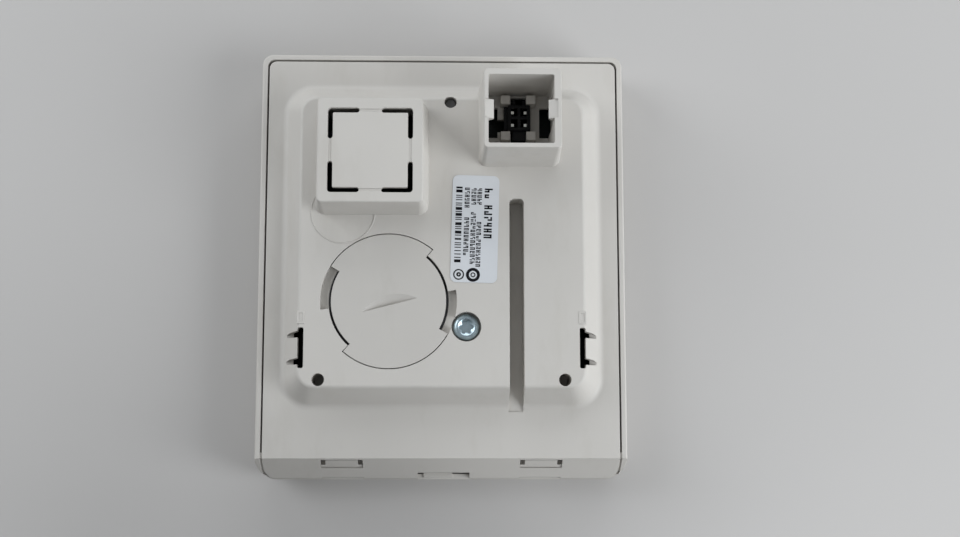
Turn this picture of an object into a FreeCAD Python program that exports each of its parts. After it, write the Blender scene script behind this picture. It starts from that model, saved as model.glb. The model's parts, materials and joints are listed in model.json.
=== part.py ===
import FreeCAD, Part
import Sketcher
import os
from math import cos, radians, sin
from types import SimpleNamespace

# Wall keypad for an alarm system, lying on its front face, in millimetres.
# +Z points out of the rear, +Y to the keypad's upper end, and z = 0 is the plane of the front face.
# The origin is below the middle of the outline.
#
# From the front plane up: front shell with its keys and window, main board, power board, rear cover.
# The rear cover carries a raised plateau, with a square cable-entry boss and a deep plug socket on it.

DIMENSIONS = {
    # Outline of the closed case
    "case_width": 120.0,
    "case_length": 140.4,
    "case_depth": 20.0,
    "top_corner_radius": 3.4,
    "foot_corner_radius": 6.6,
    "rim_width": 1.75,
    "shell_gap": 0.6,
    # Slope across the lower end, from the rear face down to the front shell's lip
    "slope_run": 6.8,
    "lip_height": 11.0,
    "seam_depth": 0.4,
    "seam_play": 0.1,
    "seam_skin": 1.4,
    # Front shell
    "bevel_height": 7.0,
    "bevel_inset": 2.0,
    "front_edge_radius": 1.6,
    "rim_edge_radius": 0.6,
    "fascia_thickness": 3.0,
    "foot_wall": 1.8,
    "cavity_corner_radius": 2.4,
    "tray_width": 100.0,
    "tray_length": 71.0,
    "tray_radius": 5.0,
    "tray_depth": 1.3,
    "tray_centre_y": -27.5,
    "post_radius": 2.9,
    "post_x": 51.0,
    "post_y": 59.0,
    "pilot_radius": 1.1,
    "pilot_depth": 5.6,
    "screw_play": 0.3,
    "small_head_radius": 2.2,
    "small_head_height": 1.5,
    "small_screw_grip": 3.4,
    "fit_gap": 0.35,
    # Keys
    "key_width": 18.0,
    "key_length": 11.5,
    "key_radius": 2.2,
    "key_edge_radius": 0.5,
    "key_pitch_x": 24.0,
    "key_pitch_y": 17.0,
    "key_recess": 0.4,
    "key_clearance": 0.35,
    "key_flange_width": 1.2,
    "key_flange_thickness": 0.9,
    "key_stop_gap": 0.15,
    "key_travel": 0.8,
    # Display
    "window_width": 72.0,
    "window_length": 22.0,
    "window_radius": 2.0,
    "window_centre_y": 40.5,
    "lens_flange": 2.0,
    "lens_fit": 0.2,
    "lens_recess": 0.3,
    "lens_seat": 1.4,
    "glass_width": 68.0,
    "glass_length": 26.0,
    "glass_thickness": 2.2,
    "frame_width": 80.0,
    "frame_length": 36.0,
    "frame_lip": 4.6,
    "frame_gap": 0.3,
    "frame_front": 0.5,
    # Status lights and buzzer, either side of the display
    "light_x": 48.0,
    "light_y": 48.0,
    "light_pitch": 7.5,
    "light_radius": 1.5,
    "light_collar_radius": 2.4,
    "light_gap": 0.2,
    "buzzer_x": -48.0,
    "buzzer_y": 40.5,
    "buzzer_radius": 6.0,
    "buzzer_height": 3.6,
    "sound_slot_width": 1.2,
    "sound_slot_length": 8.0,
    "sound_slot_pitch": 2.6,
    # Boards
    "board_thickness": 1.6,
    "main_board_width": 111.0,
    "main_board_length": 127.0,
    "main_board_height": 7.4,
    "power_board_width": 84.0,
    "power_board_length": 86.0,
    "power_board_y": 12.0,
    "power_board_height": 15.2,
    "board_corner_radius": 2.0,
    # Pin strip between the boards
    "link_x": 36.0,
    "link_y": -24.0,
    "link_pitch": 2.54,
    "link_pin_width": 0.64,
    # Elastomer key mat
    "mat_thickness": 1.1,
    "mat_width": 94.0,
    "mat_length": 68.0,
    "mat_radius": 3.0,
    "dome_radius": 3.6,
    "dome_gap": 0.12,
    # Rear cover shell and plateau
    "cover_wall": 2.0,
    "cover_top_radius": 2.4,
    "cover_foot_radius": 4.3,
    "cover_foot_y": -70.15,
    "plateau_rise": 9.1,
    "plateau_width": 102.6,
    "plateau_upper_y": 58.6,
    "plateau_lower_y": -46.5,
    "plateau_run": 5.4,
    "plateau_base_radius": 8.6,
    "plateau_top_radius": 5.2,
    "plateau_edge_radius": 1.3,
    "plateau_foot_radius": 2.6,
    # Square boss with the break-out cable entry
    "boss_x": -22.7,
    "boss_y": 32.6,
    "boss_width": 33.3,
    "boss_rise": 14.1,
    "boss_draft": 1.5,
    "boss_corner_radius": 1.5,
    "boss_edge_radius": 0.5,
    "boss_panel": 1.8,
    "entry_width": 25.2,
    "entry_length": 25.5,
    "entry_corner_radius": 1.1,
    "entry_panel_radius": 0.3,
    "entry_slot": 1.6,
    "entry_arm": 10.7,
    "bridge_groove": 0.2,
    # Deep socket for the wiring plug
    "socket_x": 24.9,
    "socket_y": 44.25,
    "socket_width": 24.0,
    "socket_length": 25.1,
    "socket_rise": 22.7,
    "socket_draft": 1.15,
    "socket_corner_radius": 1.2,
    "socket_edge_radius": 0.25,
    "mouth_x": 24.45,
    "mouth_y": 44.0,
    "mouth_width": 20.5,
    "mouth_length": 21.8,
    "mouth_radius": 0.6,
    "socket_floor_height": 25.5,
    "floor_thickness": 1.8,
    "catch_length": 6.0,
    "catch_reach": 1.7,
    "catch_height": 4.4,
    "catch_ramp": 1.1,
    "catch_slope": 1.2,
    "catch_y": 44.15,
    "side_window_length": 10.0,
    "side_window_y": 45.8,
    "side_window_undercut": 0.9,
    "side_window_top": 44.0,
    "side_window_spacing": 13.7,
    "middle_window_length": 4.2,
    "middle_window_y": 44.85,
    "key_window_length": 17.6,
    "key_window_y": 45.4,
    "guide_post_width": 3.0,
    "guide_post_length": 2.8,
    "guide_post_rise": 5.2,
    "guide_post_x": 24.55,
    "guide_post_spacing": 8.3,
    "guide_post_y": 46.4,
    "guide_post_rows": 12.0,
    # Wiring header
    "header_x": 24.9,
    "header_y": 46.6,
    "header_width": 7.2,
    "header_length": 8.4,
    "header_height": 12.8,
    "header_wall": 1.0,
    "header_floor": 3.0,
    "latch_ramp_length": 3.2,
    "ear_length": 1.8,
    "ear_spacing": 3.3,
    "header_rib": 1.3,
    "pin_tail": 1.2,
    "pin_pitch": 4.2,
    "pin_width": 1.0,
    "pin_depth": 1.6,
    # Battery well and its quarter-turn cover
    "well_x": -17.1,
    "well_y": -13.5,
    "well_radius": 19.2,
    "cover_disc_radius": 18.4,
    "lug_radius": 21.55,
    "lug_pocket_radius": 21.85,
    "lug_thickness": 2.0,
    "lug_pocket_depth": 2.3,
    "first_lug_start": 50.0,
    "first_lug_sweep": 99.0,
    "second_lug_start": 228.4,
    "second_lug_sweep": 102.6,
    "cover_turn": 38.0,
    "well_wall_radius": 23.8,
    "well_bottom": 23.4,
    "ledge_radius": 17.6,
    "ledge_top": 26.2,
    "ledge_bottom": 24.8,
    "skirt_radius": 17.2,
    "skirt_wall": 1.6,
    "skirt_bottom": 23.2,
    "tab_radius": 18.8,
    "tab_sweep": 22.0,
    "tab_thickness": 1.1,
    "coin_slot_length": 18.4,
    "coin_slot_width": 3.4,
    "coin_slot_depth": 1.3,
    "coin_slot_turn": 14.5,
    "coin_slot_offset": 1.4,
    # Coin cell and its holder
    "cell_radius": 12.25,
    "cell_height": 5.4,
    "cell_base": 18.1,
    "cell_lid_radius": 10.65,
    "cell_step": 0.6,
    "cell_edge_radius": 0.4,
    "holder_radius": 14.6,
    "holder_height": 5.0,
    "holder_play": 0.2,
    "spring_radius": 5.2,
    "clip_width": 5.6,
    "clip_thickness": 0.4,
    # Cable channel
    "channel_x": 24.0,
    "channel_width": 4.7,
    "channel_end_y": 19.9,
    "channel_corner_radius": 1.4,
    "channel_floor_height": 19.4,
    # Screw that ties the rear cover to the power board
    "screw_x": 7.8,
    "screw_y": -21.7,
    "counterbore_radius": 4.75,
    "counterbore_depth": 4.2,
    "screw_floor": 2.0,
    "screw_hole_radius": 2.25,
    "screw_head_radius": 4.2,
    "screw_head_height": 2.7,
    "screw_head_edge": 1.3,
    "drive_mouth_radius": 2.75,
    "drive_mouth_depth": 0.5,
    "screw_shank_radius": 2.0,
    "drive_radius": 1.75,
    "drive_lobe_radius": 0.62,
    "drive_depth": 1.6,
    "spacer_radius": 3.6,
    # Bracket screw wells, two low and one high
    "low_well_x": 39.3,
    "low_well_y": -38.65,
    "top_well_x": 2.6,
    "top_well_y": 51.9,
    "bracket_hole_radius": 2.0,
    "bracket_hole_depth": 12.0,
    "bracket_boss_radius": 3.9,
    # Side slots for the wall bracket's hooks
    "hook_slot_x": 45.0,
    "hook_slot_y": -28.5,
    "hook_slot_width": 1.9,
    "hook_slot_length": 13.0,
    "hook_slot_radius": 0.6,
    "hook_notch_reach": 5.7,
    "hook_notch_lift": 0.45,
    "hook_notch_length": 2.1,
    "hook_notch_spacing": 8.6,
    "hook_notch_floor": 22.0,
    # Snap tongues on the lower slope and the pry notch between them
    "latch_x": 32.2,
    "latch_window_width": 13.6,
    "latch_window_rear_y": -63.9,
    "latch_window_front_y": -66.4,
    "latch_gap": 0.05,
    "latch_inset": 0.3,
    "latch_corner_width": 1.5,
    "latch_corner_length": 1.4,
    "tongue_width": 10.2,
    "tongue_thickness": 1.2,
    "tongue_offset": 1.6,
    "tongue_tip": 16.4,
    "pry_notch_left": -7.8,
    "pry_notch_right": 9.1,
    "pry_notch_y": -68.0,
    "pry_tab_left": -5.9,
    "pry_tab_right": 3.6,
    "pry_tab_rise": 0.5,
    "top_hook_x": 30.0,
    "top_hook_width": 12.0,
    "top_hook_low": 14.0,
    "top_hook_high": 16.0,
    "top_hook_reach": 1.1,
    # Tamper switch under the upper bracket hole
    "plunger_radius": 1.5,
    "plunger_stem_radius": 0.8,
    "plunger_top": 26.6,
    "plunger_travel": 1.2,
    "plunger_guide_bottom": 21.6,
    "switch_size": 6.4,
    "switch_height": 3.2,
    # Larger components on the power board
    "capacitor_radius": 3.1,
    "capacitor_height": 7.5,
    "capacitor_x": -30.0,
    "capacitor_y": 40.0,
    "capacitor_spacing": 8.0,
    "relay_x": -32.0,
    "relay_y": 26.0,
    "relay_width": 12.0,
    "relay_length": 9.5,
    "relay_height": 8.0,
    # Rating label and small moulded marks
    "label_x": 10.5,
    "label_y": 9.95,
    "label_width": 15.1,
    "label_length": 35.0,
    "label_turn": -1.5,
    "label_radius": 1.9,
    "label_thickness": 0.15,
    "mark_rise": 0.12,
    "gate_ring_x": -32.0,
    "gate_ring_y": 15.4,
    "gate_ring_radius": 10.45,
    "mark_line": 0.35,
    "hook_mark_width": 2.4,
    "hook_mark_length": 4.0,
    "hook_mark_line": 0.6,
    "hook_mark_lift": 3.2,
}


class Dim:
    """A size: the number it has now, and the spreadsheet expression that drives it."""

    def __init__(self, text, number):
        self.text = text
        self.number = number

    def __add__(self, other):
        other = as_dim(other)
        return Dim(f"({self.text} + {other.text})", self.number + other.number)

    def __sub__(self, other):
        other = as_dim(other)
        return Dim(f"({self.text} - {other.text})", self.number - other.number)

    def __mul__(self, other):
        other = as_dim(other)
        return Dim(f"({self.text} * {other.text})", self.number * other.number)

    def __truediv__(self, other):
        other = as_dim(other)
        return Dim(f"({self.text} / {other.text})", self.number / other.number)

    def __neg__(self):
        return Dim(f"(-1 * {self.text})", -self.number)

    def __rsub__(self, other):
        return as_dim(other) - self

    __radd__ = __add__
    __rmul__ = __mul__


def as_dim(value):
    """Let plain numbers stand beside spreadsheet sizes."""
    if isinstance(value, Dim):
        return value
    return Dim(f"{float(value):.6f}", float(value))


doc = FreeCAD.newDocument("AlarmKeypad")
sheet = doc.addObject("Spreadsheet::Sheet", "Sizes")
for row, (alias, size) in enumerate(DIMENSIONS.items(), start=1):
    sheet.set(f"A{row}", alias)
    sheet.set(f"B{row}", str(size))
    sheet.setAlias(f"B{row}", alias)
doc.recompute()
S = SimpleNamespace(**{alias: Dim(f"Sizes.{alias}", size) for alias, size in DIMENSIONS.items()})

# Heights and places that several pieces share
REAR_FACE = S.case_depth
PLATEAU_TOP = S.case_depth + S.plateau_rise
BOSS_TOP = PLATEAU_TOP + S.boss_rise
SOCKET_TOP = PLATEAU_TOP + S.socket_rise
MAIN_BOARD_TOP = S.main_board_height + S.board_thickness
POWER_BOARD_TOP = S.power_board_height + S.board_thickness
CAVITY_WIDTH = S.case_width - 2 * S.rim_width
COVER_WIDTH = CAVITY_WIDTH - 2 * S.shell_gap
COVER_UPPER_Y = S.case_length / 2 - S.rim_width - S.shell_gap
SLOPE_REAR_Y = S.slope_run - S.case_length / 2
SLOPE_LEAN = S.slope_run.number / (S.case_depth.number - S.lip_height.number)
COVER_BOTTOM = S.lip_height + S.fit_gap
SPACER_HEIGHT = PLATEAU_TOP - S.counterbore_depth - S.screw_floor - POWER_BOARD_TOP
BRACKET_FLOOR = PLATEAU_TOP - S.bracket_hole_depth
LUGS = (
    ("first", S.first_lug_start, S.first_lug_sweep),
    ("second", S.second_lug_start, S.second_lug_sweep),
)
KEY_COLUMNS = 4
KEY_ROWS = 4

# How far a cutting shape runs past the face it opens, and how far joined shapes sink into each other
PAST = 1
SINK = 0.5

# Radial play between a plain screw shank or pin and the bore that stands for its thread or press fit
THREAD_PLAY = 0.05


# Helpers: each makes one object whose sizes follow the sheet

def bind(item, **sizes):
    """Drive the named properties of an object from the sheet."""
    for prop, size in sizes.items():
        item.setExpression(prop, as_dim(size).text)


def place(item, x, y, z, turn=None, axis=(0, 0, 1)):
    """Put an object at (x, y, z), turned about an axis through that point."""
    if turn is not None:
        turn = as_dim(turn)
        rotation = FreeCAD.Rotation(FreeCAD.Vector(*axis), 1)
        item.Placement = FreeCAD.Placement(FreeCAD.Vector(0, 0, 0), rotation)
        item.setExpression("Placement.Rotation.Angle", turn.text)
    for letter, size in zip("xyz", (x, y, z)):
        item.setExpression(f"Placement.Base.{letter}", as_dim(size).text)
    return item


def block(name, width, length, bottom, top, x=0, y=0):
    """A plain block centred on (x, y), from one height to another."""
    item = doc.addObject("Part::Box", name)
    bind(item, Length=width, Width=length, Height=as_dim(top) - bottom)
    return place(item, as_dim(x) - as_dim(width) / 2, as_dim(y) - as_dim(length) / 2, bottom)


def rod(name, radius, bottom, top, x=0, y=0, sweep=None, start=None):
    """An upright cylinder, or a pie slice of one from a start angle through a sweep."""
    item = doc.addObject("Part::Cylinder", name)
    bind(item, Radius=radius, Height=as_dim(top) - bottom)
    if sweep is not None:
        bind(item, Angle=sweep)
    return place(item, x, y, bottom, turn=start)


def fuse(name, items):
    item = doc.addObject("Part::MultiFuse", name)
    item.Shapes = items
    item.Refine = True
    return item


def cut(name, base, tools):
    """Take one or more tools away from a base."""
    item = doc.addObject("Part::Cut", name)
    item.Base = base
    item.Tool = tools[0] if len(tools) == 1 else fuse(f"{name}_tools", tools)
    item.Refine = True
    return item


def group(name, items):
    """Separate solids that share one node."""
    item = doc.addObject("Part::Compound", name)
    item.Links = items
    return item


def round_edges(name, base, radius, wanted):
    """Round the edges of a base that the test picks out."""
    doc.recompute()
    edges = [number for number, edge in enumerate(base.Shape.Edges, start=1) if wanted(edge)]
    item = doc.addObject("Part::Fillet", name)
    item.Base = base
    item.Edges = [(number, radius.number, radius.number) for number in edges]
    return item


def level_at(height):
    """A test for edges that lie flat at one height."""
    def test(edge):
        box = edge.BoundBox
        return abs(box.ZMin - height.number) < 0.01 and abs(box.ZMax - height.number) < 0.01
    return test


def new_body(name):
    return doc.addObject("PartDesign::Body", name)


def new_sketch(body, name, plane="XY_Plane", height=0, x=0, y=0):
    """A sketch on one of the body's origin planes, moved off it by the given distances."""
    support = next(item for item in body.Origin.OriginFeatures if item.Role == plane)
    sketch = body.newObject("Sketcher::SketchObject", name)
    sketch.AttachmentSupport = [(support, "")]
    sketch.MapMode = "FlatFace"
    for letter, size in zip("xyz", (x, y, height)):
        sketch.setExpression(f"AttachmentOffset.Base.{letter}", as_dim(size).text)
    return sketch


def constrain(sketch, size, *terms):
    """Add a dimension to a sketch and drive it from the sheet."""
    size = as_dim(size)
    index = sketch.addConstraint(Sketcher.Constraint(*terms, size.number))
    sketch.setExpression(f"Constraints[{index}]", size.text)


def rounded_rectangle(sketch, width, length, top_radius, foot_radius=None):
    """A rectangle with round corners about the sketch's origin, its lower corners perhaps rounder."""
    width, length, top_radius = as_dim(width), as_dim(length), as_dim(top_radius)
    foot_radius = top_radius if foot_radius is None else as_dim(foot_radius)
    half_w, half_l = width.number / 2, length.number / 2
    first = sketch.GeometryCount
    corners = [(1, 1, top_radius), (-1, 1, top_radius), (-1, -1, foot_radius), (1, -1, foot_radius)]
    for quarter, (side_x, side_y, radius) in enumerate(corners):
        centre = FreeCAD.Vector(side_x * (half_w - radius.number), side_y * (half_l - radius.number), 0)
        circle = Part.Circle(centre, FreeCAD.Vector(0, 0, 1), radius.number)
        start = radians(90 * quarter)
        sketch.addGeometry(Part.ArcOfCircle(circle, start, start + radians(90)), False)
    for quarter in range(4):
        begin = sketch.getPoint(first + quarter, 2)
        end = sketch.getPoint(first + (quarter + 1) % 4, 1)
        sketch.addGeometry(Part.LineSegment(begin, end), False)
    for quarter in range(4):
        arc, line, after = first + quarter, first + 4 + quarter, first + (quarter + 1) % 4
        sketch.addConstraint(Sketcher.Constraint("Tangent", arc, 2, line, 1))
        sketch.addConstraint(Sketcher.Constraint("Tangent", line, 2, after, 1))
        sketch.addConstraint(Sketcher.Constraint(("Horizontal", "Vertical")[quarter % 2], line))
        constrain(sketch, corners[quarter][2], "Radius", arc)
    constrain(sketch, length / 2, "DistanceY", -1, 1, first + 4, 1)
    constrain(sketch, -width / 2, "DistanceX", -1, 1, first + 5, 1)
    constrain(sketch, -length / 2, "DistanceY", -1, 1, first + 6, 1)
    constrain(sketch, width / 2, "DistanceX", -1, 1, first + 7, 1)


def polygon(sketch, points):
    """A closed outline of straight lines through points given as sizes."""
    points = [(as_dim(x), as_dim(y)) for x, y in points]
    first = sketch.GeometryCount
    count = len(points)
    for index, (x, y) in enumerate(points):
        next_x, next_y = points[(index + 1) % count]
        begin = FreeCAD.Vector(x.number, y.number, 0)
        end = FreeCAD.Vector(next_x.number, next_y.number, 0)
        sketch.addGeometry(Part.LineSegment(begin, end), False)
    for index, (x, y) in enumerate(points):
        line, after = first + index, first + (index + 1) % count
        sketch.addConstraint(Sketcher.Constraint("Coincident", line, 2, after, 1))
        constrain(sketch, x, "DistanceX", -1, 1, line, 1)
        constrain(sketch, y, "DistanceY", -1, 1, line, 1)


def circles(sketch, radius, centres):
    """Circles of one radius at centres given as sizes."""
    radius = as_dim(radius)
    for x, y in centres:
        x, y = as_dim(x), as_dim(y)
        index = sketch.GeometryCount
        centre = FreeCAD.Vector(x.number, y.number, 0)
        sketch.addGeometry(Part.Circle(centre, FreeCAD.Vector(0, 0, 1), radius.number), False)
        constrain(sketch, radius, "Radius", index)
        constrain(sketch, x, "DistanceX", -1, 1, index, 3)
        constrain(sketch, y, "DistanceY", -1, 1, index, 3)


def pad(body, sketch, length, middle=False):
    """Grow the sketch along its normal, or to both sides of its plane."""
    item = body.newObject("PartDesign::Pad", f"{sketch.Name}_pad")
    item.Profile = sketch
    item.Midplane = middle
    bind(item, Length=length)
    return item


def pocket(body, sketch, length, upward=False, middle=False):
    """Cut the sketch's outline out of the body, against its normal unless told upward."""
    item = body.newObject("PartDesign::Pocket", f"{sketch.Name}_pocket")
    item.Profile = sketch
    item.Reversed = upward
    item.Midplane = middle
    bind(item, Length=length)
    return item


def grid(body, feature, sketch, counts, spans):
    """Repeat a feature along the sketch's two axes, over the given spans."""
    item = body.newObject("PartDesign::MultiTransform", f"{feature.Name}_grid")
    item.Originals = [feature]
    steps = []
    for axis, count, span in zip(("H_Axis", "V_Axis"), counts, spans):
        step = body.newObject("PartDesign::LinearPattern", f"{item.Name}_{axis[0]}")
        step.Direction = (sketch, [axis])
        step.Occurrences = count
        bind(step, Length=span)
        steps.append(step)
    item.Transformations = steps
    body.Tip = item
    return item


def body_fillet(body, radius, wanted):
    """Round the edges of a body's newest feature that the test picks out."""
    doc.recompute()
    feature = body.Tip
    edges = [f"Edge{number}" for number, edge in enumerate(feature.Shape.Edges, start=1) if wanted(edge)]
    item = body.newObject("PartDesign::Fillet", f"{body.Name}_fillet")
    item.Base = (feature, edges)
    bind(item, Radius=radius)
    return item


def loft(body, sketches, cutting=False):
    """Join two like outlines by straight flanks."""
    kind = "PartDesign::SubtractiveLoft" if cutting else "PartDesign::AdditiveLoft"
    item = body.newObject(kind, f"{sketches[0].Name}_loft")
    item.Profile = sketches[0]
    item.Sections = sketches[1:]
    item.Ruled = True
    return item


def slab(name, width, length, radius, bottom, top, x=0, y=0):
    """A body with the outline of a rounded rectangle, from one height to another."""
    body = new_body(name)
    sketch = new_sketch(body, f"{name}_outline", height=bottom, x=x, y=y)
    rounded_rectangle(sketch, width, length, radius)
    pad(body, sketch, as_dim(top) - bottom)
    return body


def drafted(name, width, length, radius, top, rise, spread, x, y):
    """A body with a rounded rectangle on top and sides that spread outward on the way down."""
    body = new_body(name)
    sketch = new_sketch(body, f"{name}_outline", height=top, x=x, y=y)
    rounded_rectangle(sketch, width, length, radius)
    item = pad(body, sketch, rise)
    item.Reversed = True
    bind(item, TaperAngle=Dim(f"atan({spread.text} / {rise.text})", 0))
    return body


def tapered(name, low, high, x, y):
    """A body between two rounded rectangles, each given as width, length, radius and height."""
    body = new_body(name)
    sketches = []
    for part, (width, length, radius, height) in (("foot", low), ("head", high)):
        sketch = new_sketch(body, f"{name}_{part}", height=height, x=x, y=y)
        rounded_rectangle(sketch, width, length, radius)
        sketches.append(sketch)
    loft(body, sketches)
    return body


def side_profile(name, points, width, x=0):
    """A bar along X whose section is a polygon of (y, z) points."""
    body = new_body(name)
    sketch = new_sketch(body, f"{name}_section", plane="YZ_Plane", height=x)
    polygon(sketch, points)
    pad(body, sketch, width, middle=True)
    return body


def slope_y(height, inset=0):
    """Where the lower slope's plane is at a height, moved inward by a plain distance."""
    along = (S.case_depth - height) * SLOPE_LEAN
    square = (1 + SLOPE_LEAN ** 2) ** 0.5
    return SLOPE_REAR_Y - along + as_dim(inset) * square


def slope_z(y, inset=0):
    """How high the lower slope's plane is at a given y, moved inward by a plain distance."""
    square = (1 + SLOPE_LEAN ** 2) ** 0.5
    return S.case_depth - (SLOPE_REAR_Y + as_dim(inset) * square - y) / SLOPE_LEAN


def key_places():
    """Column, row and centre of every key, from the upper row down and from +X to -X."""
    for row in range(KEY_ROWS):
        for column in range(KEY_COLUMNS):
            x = ((KEY_COLUMNS - 1) / 2 - column) * S.key_pitch_x
            y = S.tray_centre_y + ((KEY_ROWS - 1) / 2 - row) * S.key_pitch_y
            yield column, row, x, y


# Sub-parts

def make_front_shell():
    """The tub that carries fascia, rim, key holes, board posts and snap tongues."""
    body = new_body("front_shell_tub")
    inset = 2 * S.bevel_inset
    front = new_sketch(body, "front_outline")
    rounded_rectangle(front, S.case_width - inset, S.case_length - inset,
                      S.top_corner_radius, S.foot_corner_radius)
    girth = new_sketch(body, "girth_outline", height=S.bevel_height)
    rounded_rectangle(girth, S.case_width, S.case_length, S.top_corner_radius, S.foot_corner_radius)
    loft(body, [front, girth])
    wall = new_sketch(body, "wall_outline", height=S.bevel_height)
    rounded_rectangle(wall, S.case_width, S.case_length, S.top_corner_radius, S.foot_corner_radius)
    pad(body, wall, S.case_depth - S.bevel_height)
    body_fillet(body, S.front_edge_radius, level_at(as_dim(0)))
    body_fillet(body, S.rim_edge_radius, level_at(S.case_depth))

    # Slope across the lower end
    slope = new_sketch(body, "slope_section", plane="YZ_Plane")
    outside = -S.case_length
    low, high = S.lip_height - PAST, S.case_depth + PAST
    polygon(slope, [(slope_y(high), high), (slope_y(low), low), (outside, low), (outside, high)])
    pocket(body, slope, 2 * S.case_width, middle=True)

    # Cavity: down to the fascia, and open to the slope above the lip
    inner_foot = S.foot_wall - S.case_length / 2
    inner_top = S.case_length / 2 - S.rim_width
    inner = new_sketch(body, "inner_outline", height=S.case_depth, y=(inner_top + inner_foot) / 2)
    inner_radius = S.foot_corner_radius - S.foot_wall
    rounded_rectangle(inner, CAVITY_WIDTH, inner_top - inner_foot, S.cavity_corner_radius, inner_radius)
    pocket(body, inner, S.case_depth - S.fascia_thickness)
    seat_foot = -S.case_length / 2 - PAST
    seat = new_sketch(body, "cover_seat", height=S.case_depth, y=(inner_top + seat_foot) / 2)
    rounded_rectangle(seat, CAVITY_WIDTH, inner_top - seat_foot, S.cavity_corner_radius, inner_radius)
    pocket(body, seat, S.case_depth - S.lip_height)

    # Key tray, window and its inner seat
    tray = new_sketch(body, "tray_outline", y=S.tray_centre_y)
    rounded_rectangle(tray, S.tray_width, S.tray_length, S.tray_radius)
    pocket(body, tray, S.tray_depth, upward=True)
    window = new_sketch(body, "window_outline", y=S.window_centre_y)
    rounded_rectangle(window, S.window_width, S.window_length, S.window_radius)
    pocket(body, window, S.fascia_thickness, upward=True)
    lens_seat = new_sketch(body, "lens_seat_outline", height=S.fascia_thickness, y=S.window_centre_y)
    seat_width = S.window_width + 2 * S.lens_flange
    seat_length = S.window_length + 2 * S.lens_flange
    rounded_rectangle(lens_seat, seat_width, seat_length, S.window_radius + S.lens_flange)
    pocket(body, lens_seat, S.lens_seat)

    # Light holes and sound slots
    lights = new_sketch(body, "light_holes")
    circles(lights, S.light_radius + S.light_gap / 2, light_places())
    pocket(body, lights, S.fascia_thickness, upward=True)
    slots = new_sketch(body, "sound_slots", x=S.buzzer_x, y=S.buzzer_y)
    half_length = S.sound_slot_length / 2
    for index in (-1, 0, 1):
        left = index * S.sound_slot_pitch - S.sound_slot_width / 2
        right = left + S.sound_slot_width
        polygon(slots, [(left, -half_length), (right, -half_length),
                        (right, half_length), (left, half_length)])
    pocket(body, slots, S.fascia_thickness, upward=True)

    # Board posts with pilot holes
    posts = new_sketch(body, "post_circles", height=S.fascia_thickness)
    circles(posts, S.post_radius, post_places())
    pad(body, posts, S.main_board_height - S.fascia_thickness)
    pilots = new_sketch(body, "pilot_circles", height=S.main_board_height)
    circles(pilots, S.pilot_radius, post_places())
    pocket(body, pilots, S.pilot_depth)

    # Undercuts in the upper wall for the rear cover's hooks
    for side in (-1, 1):
        name = "right" if side > 0 else "left"
        undercut = new_sketch(body, f"undercut_{name}", plane="YZ_Plane", height=side * S.top_hook_x)
        deep = COVER_UPPER_Y + S.top_hook_reach + S.fit_gap
        low, high = S.top_hook_low - S.shell_gap, S.top_hook_high + S.shell_gap
        polygon(undercut, [(inner_top - PAST, low), (deep, low), (deep, high), (inner_top - PAST, high)])
        pocket(body, undercut, S.top_hook_width + 2 * S.fit_gap, middle=True)

    # Pry tab between the latches
    tab_width = S.pry_tab_right - S.pry_tab_left
    tab_x = (S.pry_tab_right + S.pry_tab_left) / 2
    tab = new_sketch(body, "pry_tab", plane="YZ_Plane", height=tab_x)
    tab_top = S.lip_height + S.pry_tab_rise
    lip_y = slope_y(S.lip_height, S.fit_gap)
    tab_inner = S.pry_notch_y - S.latch_gap
    polygon(tab, [
        (inner_foot, S.lip_height - PAST),
        (tab_inner, S.lip_height - SINK),
        (tab_inner, tab_top),
        (slope_y(tab_top, S.fit_gap), tab_top),
        (lip_y, S.lip_height),
        (lip_y, S.lip_height - SINK),
    ])
    pad(body, tab, tab_width, middle=True)

    # Key holes
    hole_width = S.key_width + 2 * S.key_clearance
    hole_length = S.key_length + 2 * S.key_clearance
    span_x = (KEY_COLUMNS - 1) * S.key_pitch_x
    span_y = (KEY_ROWS - 1) * S.key_pitch_y
    hole = new_sketch(body, "key_hole", x=-span_x / 2, y=S.tray_centre_y - span_y / 2)
    rounded_rectangle(hole, hole_width, hole_length, S.key_radius + S.key_clearance)
    first_hole = pocket(body, hole, S.fascia_thickness, upward=True)
    grid(body, first_hole, hole, (KEY_COLUMNS, KEY_ROWS), (span_x, span_y))
    return fuse("front_shell", [body, seam_ledge(), snap_tongue(-1), snap_tongue(1)])


def seam_ledge():
    """A ledge on both sides that closes the gap around the rear cover just under the lower slope."""
    low, high = S.lip_height - SINK, S.case_depth - S.seam_depth
    under, over = low - PAST, S.case_depth + PAST
    outer = slab("seam_outer", S.case_width - 2 * SINK, S.case_length - 2 * SINK,
                 S.foot_corner_radius - SINK, low, high)
    head = -S.case_length / 4
    foot = S.cover_foot_y - S.seam_play
    inner = slab("seam_inner", COVER_WIDTH + 2 * S.seam_play, head - foot,
                 S.cover_foot_radius + S.seam_play, under, over, 0, (head + foot) / 2)
    outside = side_profile("seam_outside", [
        (slope_y(over, S.seam_depth), over),
        (slope_y(under, S.seam_depth), under),
        (-S.case_length, under),
        (-S.case_length, over),
    ], 2 * S.case_width)
    deep = S.seam_depth + S.seam_skin
    inside = side_profile("seam_inside", [
        (slope_y(over, deep), over),
        (slope_y(under, deep), under),
        (S.case_length, under),
        (S.case_length, over),
    ], 2 * S.case_width)
    return cut("seam_ledge", outer, [inner, outside, inside])


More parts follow.
